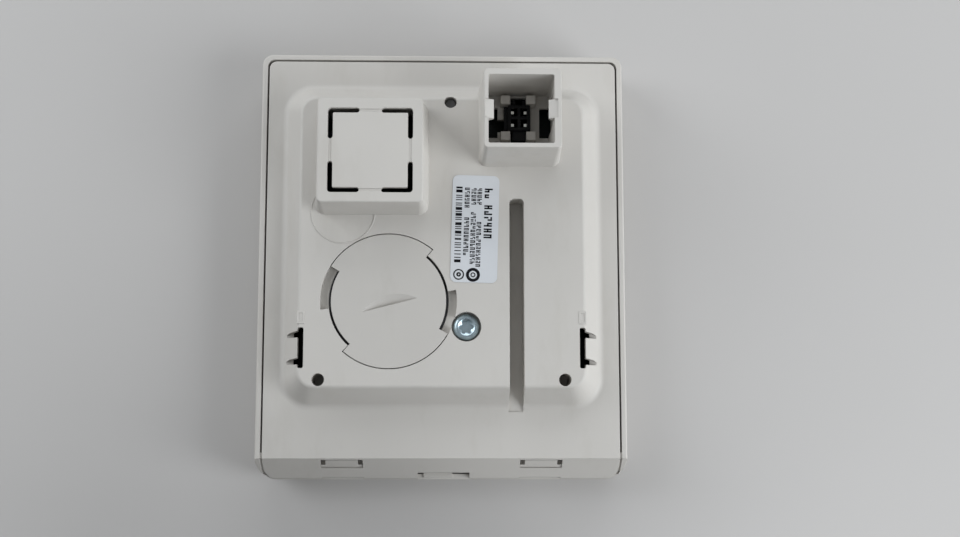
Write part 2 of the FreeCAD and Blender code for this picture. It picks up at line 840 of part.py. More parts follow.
def snap_tongue(side):
    """A springy tongue behind the lower slope, with a catch that stands in the slope's window."""
    hand = "right" if side > 0 else "left"
    inner = S.cover_wall + S.fit_gap
    back = inner + S.tongue_thickness
    foot_y = -S.case_length / 2 + S.foot_wall + S.tongue_offset
    back_y = foot_y + S.tongue_thickness
    tongue = side_profile(f"snap_tongue_{hand}", [
        (foot_y, S.fascia_thickness - SINK),
        (foot_y, slope_z(foot_y, inner)),
        (slope_y(S.tongue_tip, inner), S.tongue_tip),
        (slope_y(S.tongue_tip, back), S.tongue_tip),
        (back_y, slope_z(back_y, back)),
        (back_y, S.fascia_thickness - SINK),
    ], S.tongue_width, x=side * S.latch_x)
    front_y = S.latch_window_front_y + S.latch_gap
    rear_y = S.latch_window_rear_y - S.latch_gap
    catch_width = S.latch_window_width - 2 * S.latch_gap
    catch = side_profile(f"snap_catch_{hand}", [
        (front_y, slope_z(front_y, inner + SINK)),
        (front_y, slope_z(front_y, S.latch_inset)),
        (rear_y, slope_z(rear_y, S.latch_inset)),
        (rear_y, slope_z(rear_y, inner + SINK)),
    ], catch_width, x=side * S.latch_x)
    corner_x = (catch_width - S.latch_corner_width + SINK) / 2
    corner_y = rear_y - (S.latch_corner_length - SINK) / 2
    corners = [block(f"catch_corner_{hand}_{end}", S.latch_corner_width + SINK, S.latch_corner_length + SINK,
                     S.tongue_tip - PAST, S.case_depth,
                     side * S.latch_x + sign * corner_x, corner_y)
               for end, sign in (("left", -1), ("right", 1))]
    return fuse(f"snap_latch_{hand}", [tongue, cut(f"snap_catch_notched_{hand}", catch, corners)])


def light_places():
    return [(S.light_x, S.light_y - index * S.light_pitch) for index in range(3)]


def post_places():
    return [(side_x * S.post_x, side_y * S.post_y) for side_x in (-1, 1) for side_y in (-1, 1)]


def make_rear_cover():
    """The rear moulding: slab with its slope, plateau, boss and socket, hollow from below."""
    # Outside
    slab_foot = S.cover_foot_y
    plate = new_body("cover_plate")
    outline = new_sketch(plate, "cover_outline", height=COVER_BOTTOM, y=(COVER_UPPER_Y + slab_foot) / 2)
    rounded_rectangle(outline, COVER_WIDTH, COVER_UPPER_Y - slab_foot,
                      S.cover_top_radius, S.cover_foot_radius)
    pad(plate, outline, REAR_FACE - COVER_BOTTOM)
    slope = new_sketch(plate, "cover_slope", plane="YZ_Plane")
    outside = -S.case_length
    low, high = COVER_BOTTOM - PAST, REAR_FACE + PAST
    polygon(slope, [(slope_y(high), high), (slope_y(low), low), (outside, low), (outside, high)])
    pocket(plate, slope, 2 * S.case_width, middle=True)
    centre_y = (S.plateau_upper_y + S.plateau_lower_y) / 2
    length = S.plateau_upper_y - S.plateau_lower_y
    top_width = S.plateau_width - 2 * S.plateau_run
    top_length = length - 2 * S.plateau_run
    plateau = tapered("plateau", (S.plateau_width, length, S.plateau_base_radius, REAR_FACE),
                      (top_width, top_length, S.plateau_top_radius, PLATEAU_TOP), 0, centre_y)
    slab_and_plateau = fuse("slab_and_plateau", [plate, plateau])
    soft_foot = round_edges("soft_foot", slab_and_plateau, S.plateau_foot_radius, plateau_foot)
    soft_plateau = round_edges("soft_plateau", soft_foot, S.plateau_edge_radius, level_at(PLATEAU_TOP))
    boss = drafted("boss", S.boss_width, S.boss_width, S.boss_corner_radius,
                   BOSS_TOP, S.boss_rise, S.boss_draft, S.boss_x, S.boss_y)
    body_fillet(boss, S.boss_edge_radius, level_at(BOSS_TOP))
    full_rise = SOCKET_TOP - REAR_FACE + SINK
    full_draft = S.socket_draft * full_rise / S.socket_rise
    socket = drafted("socket", S.socket_width, S.socket_length, S.socket_corner_radius,
                     SOCKET_TOP, full_rise, full_draft, S.socket_x, S.socket_y)
    body_fillet(socket, S.socket_edge_radius, level_at(SOCKET_TOP))
    outer = fuse("cover_outside", [soft_plateau, boss, socket])

    # Inside: one hollow under slab, plateau and boss, less the walls and bosses that stand in it
    wall = S.cover_wall
    ceiling = REAR_FACE - wall
    below = COVER_BOTTOM - PAST
    under_slab = side_profile("under_slab", [
        (COVER_UPPER_Y - wall, below),
        (COVER_UPPER_Y - wall, ceiling),
        (slope_y(ceiling, wall), ceiling),
        (slope_y(below, wall), below),
    ], COVER_WIDTH - 2 * wall)
    flank = wall * (1 + (S.plateau_run.number / S.plateau_rise.number) ** 2) ** 0.5
    lean = S.plateau_run / S.plateau_rise
    low_width = S.plateau_width - 2 * flank + 2 * wall * lean
    low_length = length - 2 * flank + 2 * wall * lean
    high_width = top_width - 2 * flank + 2 * wall * lean
    high_length = top_length - 2 * flank + 2 * wall * lean
    under_plateau = tapered("under_plateau", (low_width, low_length, S.plateau_top_radius + 2, ceiling),
                            (high_width, high_length, S.plateau_top_radius, PLATEAU_TOP - wall), 0, centre_y)
    bare_width = S.boss_width - 2 * wall
    under_boss = slab("under_boss", bare_width, bare_width, S.boss_edge_radius, ceiling,
                      BOSS_TOP - S.boss_panel, S.boss_x, S.boss_y)
    hollow_space = fuse("cover_hollow", [under_slab, under_plateau, under_boss])
    hollow = cut("cover_hollow_less_islands", hollow_space, cover_islands())
    moulded = cut("cover_moulded", outer, [hollow])

    opened = cut("cover_opened", moulded, cover_openings())
    return fuse("rear_cover", [opened, *cover_details()])


def plateau_foot(edge):
    """Edges round the plateau's foot."""
    box = edge.BoundBox
    at_foot = abs(box.ZMax - REAR_FACE.number) < 0.01 and abs(box.ZMin - REAR_FACE.number) < 0.01
    half_width = S.plateau_width.number / 2
    on_outline = max(abs(box.XMin), abs(box.XMax)) < half_width + 0.01
    within_y = box.YMax < S.plateau_upper_y.number + 0.01 and box.YMin > S.plateau_lower_y.number - 0.01
    return at_foot and on_outline and within_y


def cover_islands():
    """Walls and bosses left standing in the rear cover's hollow."""
    ceiling = PLATEAU_TOP
    wall = S.cover_wall
    spread = 2 * S.socket_draft
    tube = slab("island_socket", S.socket_width + spread, S.socket_length + spread, S.socket_corner_radius,
                S.socket_floor_height - S.floor_thickness, ceiling, S.socket_x, S.socket_y)
    channel_foot = S.plateau_lower_y
    channel_head = S.channel_end_y + wall
    channel = block("island_channel", S.channel_width + 2 * wall, channel_head - channel_foot,
                    S.channel_floor_height - wall, ceiling, S.channel_x, (channel_head + channel_foot) / 2)
    well = rod("island_well", S.well_wall_radius, S.well_bottom, ceiling, S.well_x, S.well_y)
    screw = rod("island_screw", S.counterbore_radius + wall, POWER_BOARD_TOP + SPACER_HEIGHT, ceiling,
                S.screw_x, S.screw_y)
    bracket = [rod(f"island_bracket_{index}", S.bracket_boss_radius, BRACKET_FLOOR - wall, ceiling, x, y)
               for index, (x, y) in enumerate(low_wells())]
    guide = rod("island_plunger_guide", S.bracket_boss_radius, S.plunger_guide_bottom, ceiling,
                S.top_well_x, S.top_well_y)
    posts = [rod(f"island_board_post_{index}", S.post_radius, POWER_BOARD_TOP, ceiling, x, y)
             for index, (x, y) in enumerate(power_post_places())]
    return [tube, channel, well, screw, guide, *bracket, *posts]


def cover_openings():
    """Every hole, slot, recess and channel in the rear cover."""
    above = PLATEAU_TOP + PAST
    mouth = slab("socket_mouth", S.mouth_width, S.mouth_length, S.mouth_radius, S.socket_floor_height,
                 SOCKET_TOP + PAST, S.mouth_x, S.mouth_y)
    tools = [mouth, *catch_ramps(), *floor_windows(), *entry_slots(), *well_openings(), *hook_slots(),
             *slope_openings()]

    channel_foot = S.plateau_lower_y - S.cover_wall
    channel_run = S.channel_end_y - S.channel_width / 2 - channel_foot
    tools.append(block("channel_run", S.channel_width, channel_run, S.channel_floor_height, above,
                       S.channel_x, channel_foot + channel_run / 2))
    tools.append(slab("channel_end", S.channel_width, S.channel_width, S.channel_corner_radius,
                      S.channel_floor_height, above, S.channel_x, S.channel_end_y - S.channel_width / 2))

    counterbore_floor = PLATEAU_TOP - S.counterbore_depth
    tools.append(rod("counterbore", S.counterbore_radius, counterbore_floor, above, S.screw_x, S.screw_y))
    tools.append(rod("screw_hole", S.screw_hole_radius, REAR_FACE, PLATEAU_TOP, S.screw_x, S.screw_y))
    for index, (x, y) in enumerate(low_wells()):
        tools.append(rod(f"bracket_hole_{index}", S.bracket_hole_radius, BRACKET_FLOOR, above, x, y))
    tools.append(rod("plunger_hole", S.bracket_hole_radius, S.plunger_guide_bottom - PAST, above,
                     S.top_well_x, S.top_well_y))
    for index, (x, y) in enumerate(power_post_places()):
        tools.append(rod(f"post_pilot_{index}", S.pilot_radius, POWER_BOARD_TOP - PAST,
                         POWER_BOARD_TOP + S.pilot_depth, x, y))
    return tools


def catch_ramps():
    """Lead-in ramps cut into the socket's rim above the two catches."""
    ramps = []
    top = SOCKET_TOP - S.socket_edge_radius
    half = S.mouth_width / 2
    for side, hand in ((-1, "left"), (1, "right")):
        body = new_body(f"catch_ramp_{hand}")
        section = new_sketch(body, f"catch_ramp_section_{hand}", plane="XZ_Plane", height=-S.catch_y,
                             x=S.mouth_x)
        root = side * (half + S.catch_ramp)
        tip = side * (half - S.catch_reach)
        polygon(section, [
            (root, top),
            (root, SOCKET_TOP + PAST),
            (tip, SOCKET_TOP + PAST),
            (tip, top - S.catch_slope),
        ])
        pad(body, section, S.catch_length, middle=True)
        ramps.append(body)
    return ramps


def floor_windows():
    """Windows in the socket's floor: for the header, under each catch, and one that joins two of them."""
    low = S.socket_floor_height - S.floor_thickness - PAST
    high = S.socket_floor_height + PAST
    x = S.header_x
    play = 2 * S.fit_gap
    middle = block("header_window", S.header_width + play, S.header_length + play, low, high, x, S.header_y)
    key_window = block("header_key_window", S.pin_pitch + play, S.key_window_length, low, high,
                       x, S.key_window_y)
    reach = S.mouth_width / 2 + S.side_window_undercut
    half = S.side_window_spacing / 2
    sides = []
    for sign, hand in ((-1, "left"), (1, "right")):
        inner, outer = x + sign * half, S.mouth_x + sign * reach
        sides.append(block(f"catch_window_{hand}", sign * (outer - inner), S.side_window_length,
                           low, S.side_window_top, (inner + outer) / 2, S.side_window_y))
    left = S.mouth_x - reach
    joining = block("joining_window", x - left, S.middle_window_length, low, high,
                    (x + left) / 2, S.middle_window_y)
    return [middle, key_window, joining, *sides]


def entry_slots():
    """Four angled slots and four thin lines that let the square cable entry break out."""
    x, y = S.boss_x, S.boss_y
    low, high = BOSS_TOP - S.boss_panel - PAST, BOSS_TOP + PAST
    end_radius = S.entry_slot / 2
    arm = S.entry_arm - S.entry_slot
    bridge_x = S.entry_width / 2 + end_radius - arm
    bridge_y = S.entry_length / 2 + end_radius - arm
    outer = slab("entry_outer", S.entry_width + S.entry_slot, S.entry_length + S.entry_slot,
                 S.entry_corner_radius, low, high, x, y)
    slots = cut("entry_slots", outer, [
        slab("entry_panel", S.entry_width - S.entry_slot, S.entry_length - S.entry_slot,
             S.entry_panel_radius, low - PAST, high + PAST, x, y),
        block("entry_bridge_x", 2 * bridge_x, 2 * S.entry_length, low - PAST, high + PAST, x, y),
        block("entry_bridge_y", 2 * S.entry_width, 2 * bridge_y, low - PAST, high + PAST, x, y),
    ])
    ends = []
    for side_x in (-1, 1):
        for side_y in (-1, 1):
            far_x, far_y = x + side_x * S.entry_width / 2, y + side_y * S.entry_length / 2
            name = f"entry_end_{'right' if side_x > 0 else 'left'}_{'upper' if side_y > 0 else 'lower'}"
            ends.append(rod(f"{name}_x", end_radius, low, high, x + side_x * bridge_x, far_y))
            ends.append(rod(f"{name}_y", end_radius, low, high, far_x, y + side_y * bridge_y))
    low = BOSS_TOP - S.bridge_groove
    lines = []
    for sign, hand in ((-1, "low"), (1, "high")):
        across, along = x + sign * S.entry_width / 2, y + sign * S.entry_length / 2
        lines.append(block(f"bridge_line_x_{hand}", 2 * bridge_x, end_radius, low, high, x, along))
        lines.append(block(f"bridge_line_y_{hand}", end_radius, 2 * bridge_y, low, high, across, y))
    return [slots, *ends, *lines]


def well_openings():
    """The battery well: bore, ledge with two tab gaps, and the pockets that the cover's lugs turn in."""
    above = PLATEAU_TOP + PAST
    below = S.well_bottom - PAST
    x, y = S.well_x, S.well_y
    bore = rod("well_bore", S.well_radius, S.ledge_top, above, x, y)
    throat = rod("well_throat", S.ledge_radius, below, above, x, y)
    undercut = rod("well_undercut", S.well_radius, below, S.ledge_bottom, x, y)
    tools = [bore, throat, undercut]
    pocket_floor = PLATEAU_TOP - S.lug_pocket_depth
    end_play = 0.5
    tab_play = 2
    for name, start, sweep in LUGS:
        tools.append(rod(f"{name}_lug_pocket", S.lug_pocket_radius, pocket_floor, above, x, y,
                         sweep=sweep + S.cover_turn + 2 * end_play, start=start - end_play))
        gap_start = tab_start(start, sweep) + S.cover_turn - tab_play
        tools.append(rod(f"{name}_tab_gap", S.well_radius, S.ledge_bottom - PAST, above, x, y,
                         sweep=S.tab_sweep + 2 * tab_play, start=gap_start))
    return tools


def tab_start(start, sweep):
    """Where a bayonet tab begins: centred under its lug."""
    return start + (sweep - S.tab_sweep) / 2


def hook_slots():
    """Slots for the wall bracket's hooks, each with two notches that taper out across the plateau's flank."""
    tools = []
    low, high = REAR_FACE - S.cover_wall - PAST, PLATEAU_TOP + PAST
    half = S.hook_notch_length / 2
    for side, hand in ((-1, "left"), (1, "right")):
        tools.append(slab(f"hook_slot_{hand}", S.hook_slot_width, S.hook_slot_length, S.hook_slot_radius,
                          low, high, side * S.hook_slot_x, S.hook_slot_y))
        notches = new_body(f"hook_notches_{hand}")
        outline = new_sketch(notches, f"hook_notch_outline_{hand}", height=S.hook_notch_floor,
                             y=S.hook_slot_y)
        near = side * S.hook_slot_x
        edge = side * (S.hook_slot_x + S.hook_slot_width / 2)
        far = edge + side * S.hook_notch_reach
        for sign in (-1, 1):
            middle = sign * S.hook_notch_spacing / 2
            polygon(outline, [
                (near, middle - half),
                (edge, middle - half),
                (far, middle - half + S.hook_notch_lift),
                ((edge + far) / 2, middle + half / 2 + S.hook_notch_lift / 2),
                (edge, middle + half),
                (near, middle + half),
            ])
        pad(notches, outline, high - S.hook_notch_floor)
        tools.append(notches)
    return tools


def slope_openings():
    """Latch windows, lip reliefs and the pry notch across the lower slope."""
    low, high = COVER_BOTTOM - PAST, REAR_FACE + PAST
    front, rear = S.latch_window_front_y, S.latch_window_rear_y
    outside = -S.case_length / 2 - PAST
    relief_rear = slope_y(S.lip_height + PAST)
    tools = []
    for side, hand in ((-1, "left"), (1, "right")):
        x = side * S.latch_x
        tools.append(block(f"latch_window_{hand}", S.latch_window_width, rear - front, low, high,
                           x, (rear + front) / 2))
        tools.append(block(f"lip_relief_{hand}", S.latch_window_width, relief_rear - outside, low, high,
                           x, (relief_rear + outside) / 2))
    notch_width = S.pry_notch_right - S.pry_notch_left
    notch_x = (S.pry_notch_right + S.pry_notch_left) / 2
    tools.append(block("pry_notch", notch_width, S.pry_notch_y - outside, low, high,
                       notch_x, (S.pry_notch_y + outside) / 2))
    return tools


def cover_details():
    """Catches, guide posts, upper hooks and raised moulding marks of the rear cover."""
    details = []
    catch_top = SOCKET_TOP - S.socket_edge_radius
    half = S.mouth_width / 2
    for side, hand in ((-1, "left"), (1, "right")):
        body = new_body(f"catch_{hand}")
        section = new_sketch(body, f"catch_section_{hand}", plane="XZ_Plane", height=-S.catch_y, x=S.mouth_x)
        root = side * (half + S.catch_ramp)
        tip = side * (half - S.catch_reach)
        polygon(section, [
            (root, catch_top),
            (tip, catch_top - S.catch_slope),
            (tip, catch_top - S.catch_height / 2),
            (side * half, catch_top - S.catch_height),
            (root, catch_top - S.catch_height),
        ])
        pad(body, section, S.catch_length, middle=True)
        details.append(body)
    post_top = S.socket_floor_height + S.guide_post_rise
    for side_x in (-1, 1):
        for side_y in (-1, 1):
            x = S.guide_post_x + side_x * S.guide_post_spacing / 2
            y = S.guide_post_y + side_y * S.guide_post_rows / 2
            name = f"guide_post_{'right' if side_x > 0 else 'left'}_{'upper' if side_y > 0 else 'lower'}"
            details.append(block(name, S.guide_post_width, S.guide_post_length,
                                 S.socket_floor_height - S.floor_thickness, post_top, x, y))
    hook_tip = COVER_UPPER_Y + S.top_hook_reach
    hook_root = COVER_UPPER_Y - SINK
    for side, hand in ((-1, "left"), (1, "right")):
        details.append(side_profile(f"top_hook_{hand}", [
            (hook_root, S.top_hook_low),
            (hook_tip, (S.top_hook_low + S.top_hook_high) / 2),
            (hook_tip, S.top_hook_high),
            (hook_root, S.top_hook_high),
        ], S.top_hook_width, x=side * S.top_hook_x))
    details.extend(raised_marks())
    return details


def raised_marks():
    """A ring beside the boss and a small frame above each hook slot, all a hair proud of the plateau."""
    low, high = PLATEAU_TOP - SINK, PLATEAU_TOP + S.mark_rise
    below, above = low - PAST, high + PAST
    x, y = S.gate_ring_x, S.gate_ring_y
    ring = cut("gate_ring", rod("gate_ring_outer", S.gate_ring_radius, low, high, x, y), [
        rod("gate_ring_inner", S.gate_ring_radius - S.mark_line, below, above, x, y),
        block("gate_ring_under_boss", S.boss_width, S.boss_width, below, above, S.boss_x, S.boss_y),
        rod("gate_ring_over_well", S.lug_pocket_radius + S.mark_line, below, above, S.well_x, S.well_y),
    ])
    marks = [ring]
    width, length, line = S.hook_mark_width, S.hook_mark_length, 2 * S.hook_mark_line
    y = S.hook_slot_y + S.hook_slot_length / 2 + S.hook_mark_lift
    for side, hand in ((-1, "left"), (1, "right")):
        x = side * S.hook_slot_x
        frame = block(f"hook_mark_frame_{hand}", width, length, low, high, x, y)
        inside = block(f"hook_mark_inside_{hand}", width - line, length - line, below, above, x, y)
        marks.append(cut(f"hook_mark_{hand}", frame, [inside]))
    return marks


def low_wells():
    return [(-S.low_well_x, S.low_well_y), (S.low_well_x, S.low_well_y)]


def power_post_places():
    edge = 4
    half = S.power_board_width / 2 - edge
    upper = S.power_board_y + S.power_board_length / 2 - edge
    lower = S.power_board_y - S.power_board_length / 2 + edge
    return [(-half, upper), (half, upper), (-half, lower)]


def make_battery_cover():
    """Quarter-turn cover: disc with two lugs, skirt with two bayonet tabs, and a coin slot across it."""
    disc_bottom = PLATEAU_TOP - S.lug_thickness
    pieces = [rod("cover_disc", S.cover_disc_radius, disc_bottom, PLATEAU_TOP)]
    tab_top = S.ledge_bottom - S.shell_gap / 2
    for name, start, sweep in LUGS:
        pieces.append(rod(f"{name}_lug", S.lug_radius, disc_bottom, PLATEAU_TOP, sweep=sweep, start=start))
        pieces.append(rod(f"{name}_tab", S.tab_radius, tab_top - S.tab_thickness, tab_top,
                          sweep=S.tab_sweep, start=tab_start(start, sweep)))
    pieces.append(rod("cover_skirt", S.skirt_radius, S.skirt_bottom, disc_bottom + SINK))
    solid = fuse("cover_solid", pieces)
    inside = rod("cover_inside", S.skirt_radius - S.skirt_wall, S.skirt_bottom - PAST, disc_bottom)
    hollowed = cut("cover_hollowed", solid, [inside, coin_slot()])
    cover = group("battery_cover", [hollowed])
    return place(cover, S.well_x, S.well_y, 0)


def coin_slot():
    """The dished slot: a disc on edge, flat on one side and coned on the other."""
    half = S.coin_slot_length / 2
    radius = (half * half + S.coin_slot_depth * S.coin_slot_depth) / (2 * S.coin_slot_depth)
    rise = radius - S.coin_slot_depth
    disc = doc.addObject("Part::Cone", "coin_slot")
    bind(disc, Radius1=radius, Radius2=rise, Height=S.coin_slot_width)
    upright = FreeCAD.Rotation(FreeCAD.Vector(1, 0, 0), -90)
    turn = FreeCAD.Rotation(FreeCAD.Vector(0, 0, 1), S.coin_slot_turn.number)
    offset = turn.multVec(FreeCAD.Vector(0, -S.coin_slot_offset.number, 0))
    disc.Placement = FreeCAD.Placement(FreeCAD.Vector(offset.x, offset.y, 0), turn.multiply(upright))
    bind(disc, **{"Placement.Base.z": PLATEAU_TOP + rise})
    return disc


def make_key(name, x, y):
    """A key cap with a flange behind the fascia that stops it."""
    body = new_body(name)
    flange_bottom = S.fascia_thickness + S.key_stop_gap
    cap = new_sketch(body, f"{name}_cap", height=S.key_recess)
    rounded_rectangle(cap, S.key_width, S.key_length, S.key_radius)
    pad(body, cap, flange_bottom - S.key_recess)
    body_fillet(body, S.key_edge_radius, level_at(S.key_recess))
    flange = new_sketch(body, f"{name}_flange", height=flange_bottom)
    grow = 2 * S.key_flange_width
    rounded_rectangle(flange, S.key_width + grow, S.key_length + grow, S.key_radius + S.key_flange_width)
    pad(body, flange, S.key_flange_thickness)
    place(body, x, y, 0)
    return body


def make_key_mat():
    """Elastomer sheet on the main board with one dome under each key."""
    top = S.main_board_height
    sheet_bottom = top - S.mat_thickness
    body = slab("key_mat_sheet", S.mat_width, S.mat_length, S.mat_radius, sheet_bottom, top,
                0, S.tray_centre_y)
    flange_top = S.fascia_thickness + S.key_stop_gap + S.key_flange_thickness
    dome_bottom = flange_top + S.key_travel + S.dome_gap
    domes = [rod(f"dome_{row}_{column}", S.dome_radius, dome_bottom, sheet_bottom + SINK, x, y)
             for column, row, x, y in key_places()]
    return fuse("key_mat", [body, *domes])


def make_display_lens():
    """Clear window: a panel in the fascia's opening with a flange in the seat behind it."""
    fit = 2 * S.lens_fit
    y = S.window_centre_y
    seat_bottom = S.fascia_thickness - S.lens_seat
    panel = slab("lens_panel", S.window_width - fit, S.window_length - fit, S.window_radius - S.lens_fit,
                 S.lens_recess, seat_bottom + SINK, 0, y)
    grow = 2 * S.lens_flange - fit
    flange_radius = S.window_radius + S.lens_flange - S.lens_fit
    flange = slab("lens_flange_body", S.window_width + grow, S.window_length + grow, flange_radius,
                  seat_bottom, S.fascia_thickness, 0, y)
    return fuse("display_lens", [panel, flange])


def make_display_module():
    """The display's glass cell and the frame that holds it against the main board."""
    y = S.window_centre_y
    frame_bottom = S.fascia_thickness + S.frame_gap
    glass_bottom = frame_bottom + S.frame_front
    glass_top = glass_bottom + S.glass_thickness
    play = 0.1
    glass = slab("lcd_glass", S.glass_width, S.glass_length, S.board_corner_radius / 4,
                 glass_bottom, glass_top, 0, y)
    frame = slab("lcd_frame_outside", S.frame_width, S.frame_length, S.board_corner_radius,
                 frame_bottom, S.main_board_height, 0, y)
    view = block("lcd_frame_view", S.glass_width - 2 * PAST, S.glass_length - 2 * PAST,
                 frame_bottom - PAST, glass_bottom, 0, y)
    bed = block("lcd_frame_bed", S.glass_width + 2 * play, S.glass_length + 2 * play,
                glass_bottom, glass_top + play, 0, y)
    back = block("lcd_frame_back", S.frame_width - 2 * S.frame_lip, S.frame_length - 2 * S.frame_lip,
                 glass_bottom, S.main_board_height + PAST, 0, y)
    return [glass, cut("lcd_frame", frame, [view, bed, back])]


def make_main_board():
    """Front circuit board, with clearance holes at its four screw posts."""
    board = slab("main_board_sheet", S.main_board_width, S.main_board_length, S.board_corner_radius,
                 S.main_board_height, MAIN_BOARD_TOP)
    low, high = S.main_board_height - PAST, MAIN_BOARD_TOP + PAST
    holes = [rod(f"main_board_hole_{index}", S.pilot_radius + S.screw_play, low, high, x, y)
             for index, (x, y) in enumerate(post_places())]
    return cut("main_board", board, holes)


def small_screw(name, x, y, seat, up):
    """A pan-head screw through a board, its head on the upper or the lower side."""
    reach = S.board_thickness + S.small_screw_grip
    if up:
        head = rod(f"{name}_head", S.small_head_radius, seat, seat + S.small_head_height, x, y)
        shank = rod(f"{name}_shank", S.pilot_radius - THREAD_PLAY, seat - reach, seat, x, y)
    else:
        head = rod(f"{name}_head", S.small_head_radius, seat - S.small_head_height, seat, x, y)
        shank = rod(f"{name}_shank", S.pilot_radius - THREAD_PLAY, seat, seat + reach, x, y)
    return fuse(name, [head, shank])


def make_board_screws():
    screws = [small_screw(f"board_screw_{index}", x, y, MAIN_BOARD_TOP, True)
              for index, (x, y) in enumerate(post_places())]
    return group("board_screws", screws)


def make_power_board_screws():
    screws = [small_screw(f"power_screw_{index}", x, y, S.power_board_height, False)
              for index, (x, y) in enumerate(power_post_places())]
    return group("power_board_screws", screws)


def make_status_lights():
    """Three light pipes in the fascia and the lamps on the board behind them."""
    lamp_width, lamp_length, lamp_height = 3.0, 1.6, 1.4
    lamps, pipes = [], []
    for index, (x, y) in enumerate(light_places()):
        lamp_bottom = S.main_board_height - lamp_height
        lamps.append(block(f"lamp_{index}", lamp_width, lamp_length, lamp_bottom, S.main_board_height, x, y))
        stem = rod(f"pipe_stem_{index}", S.light_radius, S.key_recess, S.fascia_thickness + SINK, x, y)
        collar = rod(f"pipe_collar_{index}", S.light_collar_radius, S.fascia_thickness,
                     lamp_bottom - S.light_gap, x, y)
        pipes.append(fuse(f"pipe_{index}", [stem, collar]))
    return [group("status_light_pipes", pipes), group("status_lamps", lamps)]


def make_buzzer():
    """Piezo sounder behind the sound slots, with its port facing the fascia."""
    top = S.main_board_height
    bottom = top - S.buzzer_height
    can = rod("buzzer_can", S.buzzer_radius, bottom, top, S.buzzer_x, S.buzzer_y)
    port_radius = 1.2
    port = rod("buzzer_port", port_radius, bottom - PAST, bottom + PAST, S.buzzer_x, S.buzzer_y)
    return cut("buzzer", can, [port])


# Centre x, centre y, width, length and height of each package on the main board
CHIPS = (
    (12, -20, 14, 14, 1.6),
    (-22, -30, 10, 7, 1.4),
    (-20, 36, 12, 8, 1.5),
    (30, 10, 7, 5, 1.4),
)


def make_board_chips():
    """Controller and driver packages on the rear side of the main board."""
    chips = [block(f"chip_{index}", width, length, MAIN_BOARD_TOP, MAIN_BOARD_TOP + height, x, y)
             for index, (x, y, width, length, height) in enumerate(CHIPS)]
    return group("board_chips", chips)


def make_power_board():
    """Rear circuit board, with holes for its screws, the centre screw and the header's pins."""
    board = slab("power_board_sheet", S.power_board_width, S.power_board_length, S.board_corner_radius,
                 S.power_board_height, POWER_BOARD_TOP, 0, S.power_board_y)
    low, high = S.power_board_height - PAST, POWER_BOARD_TOP + PAST
    holes = [rod(f"power_board_hole_{index}", S.pilot_radius + S.screw_play, low, high, x, y)
             for index, (x, y) in enumerate(power_post_places())]
    centre_hole = S.screw_shank_radius + S.screw_play
    holes.append(rod("power_board_screw_hole", centre_hole, low, high, S.screw_x, S.screw_y))
    pin_hole = S.pin_width + 2 * THREAD_PLAY
    holes.extend(block(f"pin_hole_{index}", pin_hole, pin_hole, low, high, x, y)
                 for index, (x, y) in enumerate(pin_places()))
    return cut("power_board", board, holes)


def pin_places():
    half = S.pin_pitch / 2
    return [(S.header_x + side_x * half, S.header_y + side_y * half)
            for side_x in (-1, 1) for side_y in (-1, 1)]


def make_header():
    """Two-by-two wiring header: shroud with four chambers, keys at both ends, a side rib, and its pins."""
    top = POWER_BOARD_TOP + S.header_height
    x, y = S.header_x, S.header_y
    shroud = slab("shroud", S.header_width, S.header_length, S.header_wall / 2, POWER_BOARD_TOP, top, x, y)
    lower_end = y - S.header_length / 2
    upper_end = y + S.header_length / 2
    ramp_length = S.latch_ramp_length + SINK
    ramp = block("latch_ramp", S.pin_pitch, ramp_length, POWER_BOARD_TOP, top - S.header_wall,
                 x, lower_end + SINK - ramp_length / 2)
    ear_length = S.ear_length + SINK
    ears = [block(f"ear_{side}", S.header_wall, ear_length, POWER_BOARD_TOP, top - S.header_wall,
                  x + side * S.ear_spacing / 2, upper_end - SINK + ear_length / 2) for side in (-1, 1)]
    rib = block("shroud_rib", S.header_rib + SINK, S.header_length - S.header_wall,
                S.socket_floor_height + S.fit_gap, top - S.header_wall,
                x - (S.header_width + S.header_rib - SINK) / 2, y)
    chamber = (S.header_width - 3 * S.header_wall) / 2
    offset_x = (chamber + S.header_wall) / 2
    chamber_length = (S.header_length - 3 * S.header_wall) / 2
    offset_y = (chamber_length + S.header_wall) / 2
    floor = POWER_BOARD_TOP + S.header_floor
    chambers = [block(f"chamber_{side_x}_{side_y}", chamber, chamber_length, floor, top + PAST,
                      x + side_x * offset_x, y + side_y * offset_y)
                for side_x in (-1, 1) for side_y in (-1, 1)]
    bore = S.pin_width + 2 * THREAD_PLAY
    bores = [block(f"pin_bore_{index}", bore, bore, POWER_BOARD_TOP - PAST, floor + PAST, pin_x, pin_y)
             for index, (pin_x, pin_y) in enumerate(pin_places())]
    housing = cut("header_housing", fuse("header_solid", [shroud, ramp, rib, *ears]), [*chambers, *bores])
    tail = S.power_board_height - S.pin_tail
    pins = [block(f"header_pin_{index}", S.pin_width, S.pin_width, tail, top - S.pin_depth, pin_x, pin_y)
            for index, (pin_x, pin_y) in enumerate(pin_places())]
    return [housing, group("header_pins", pins)]


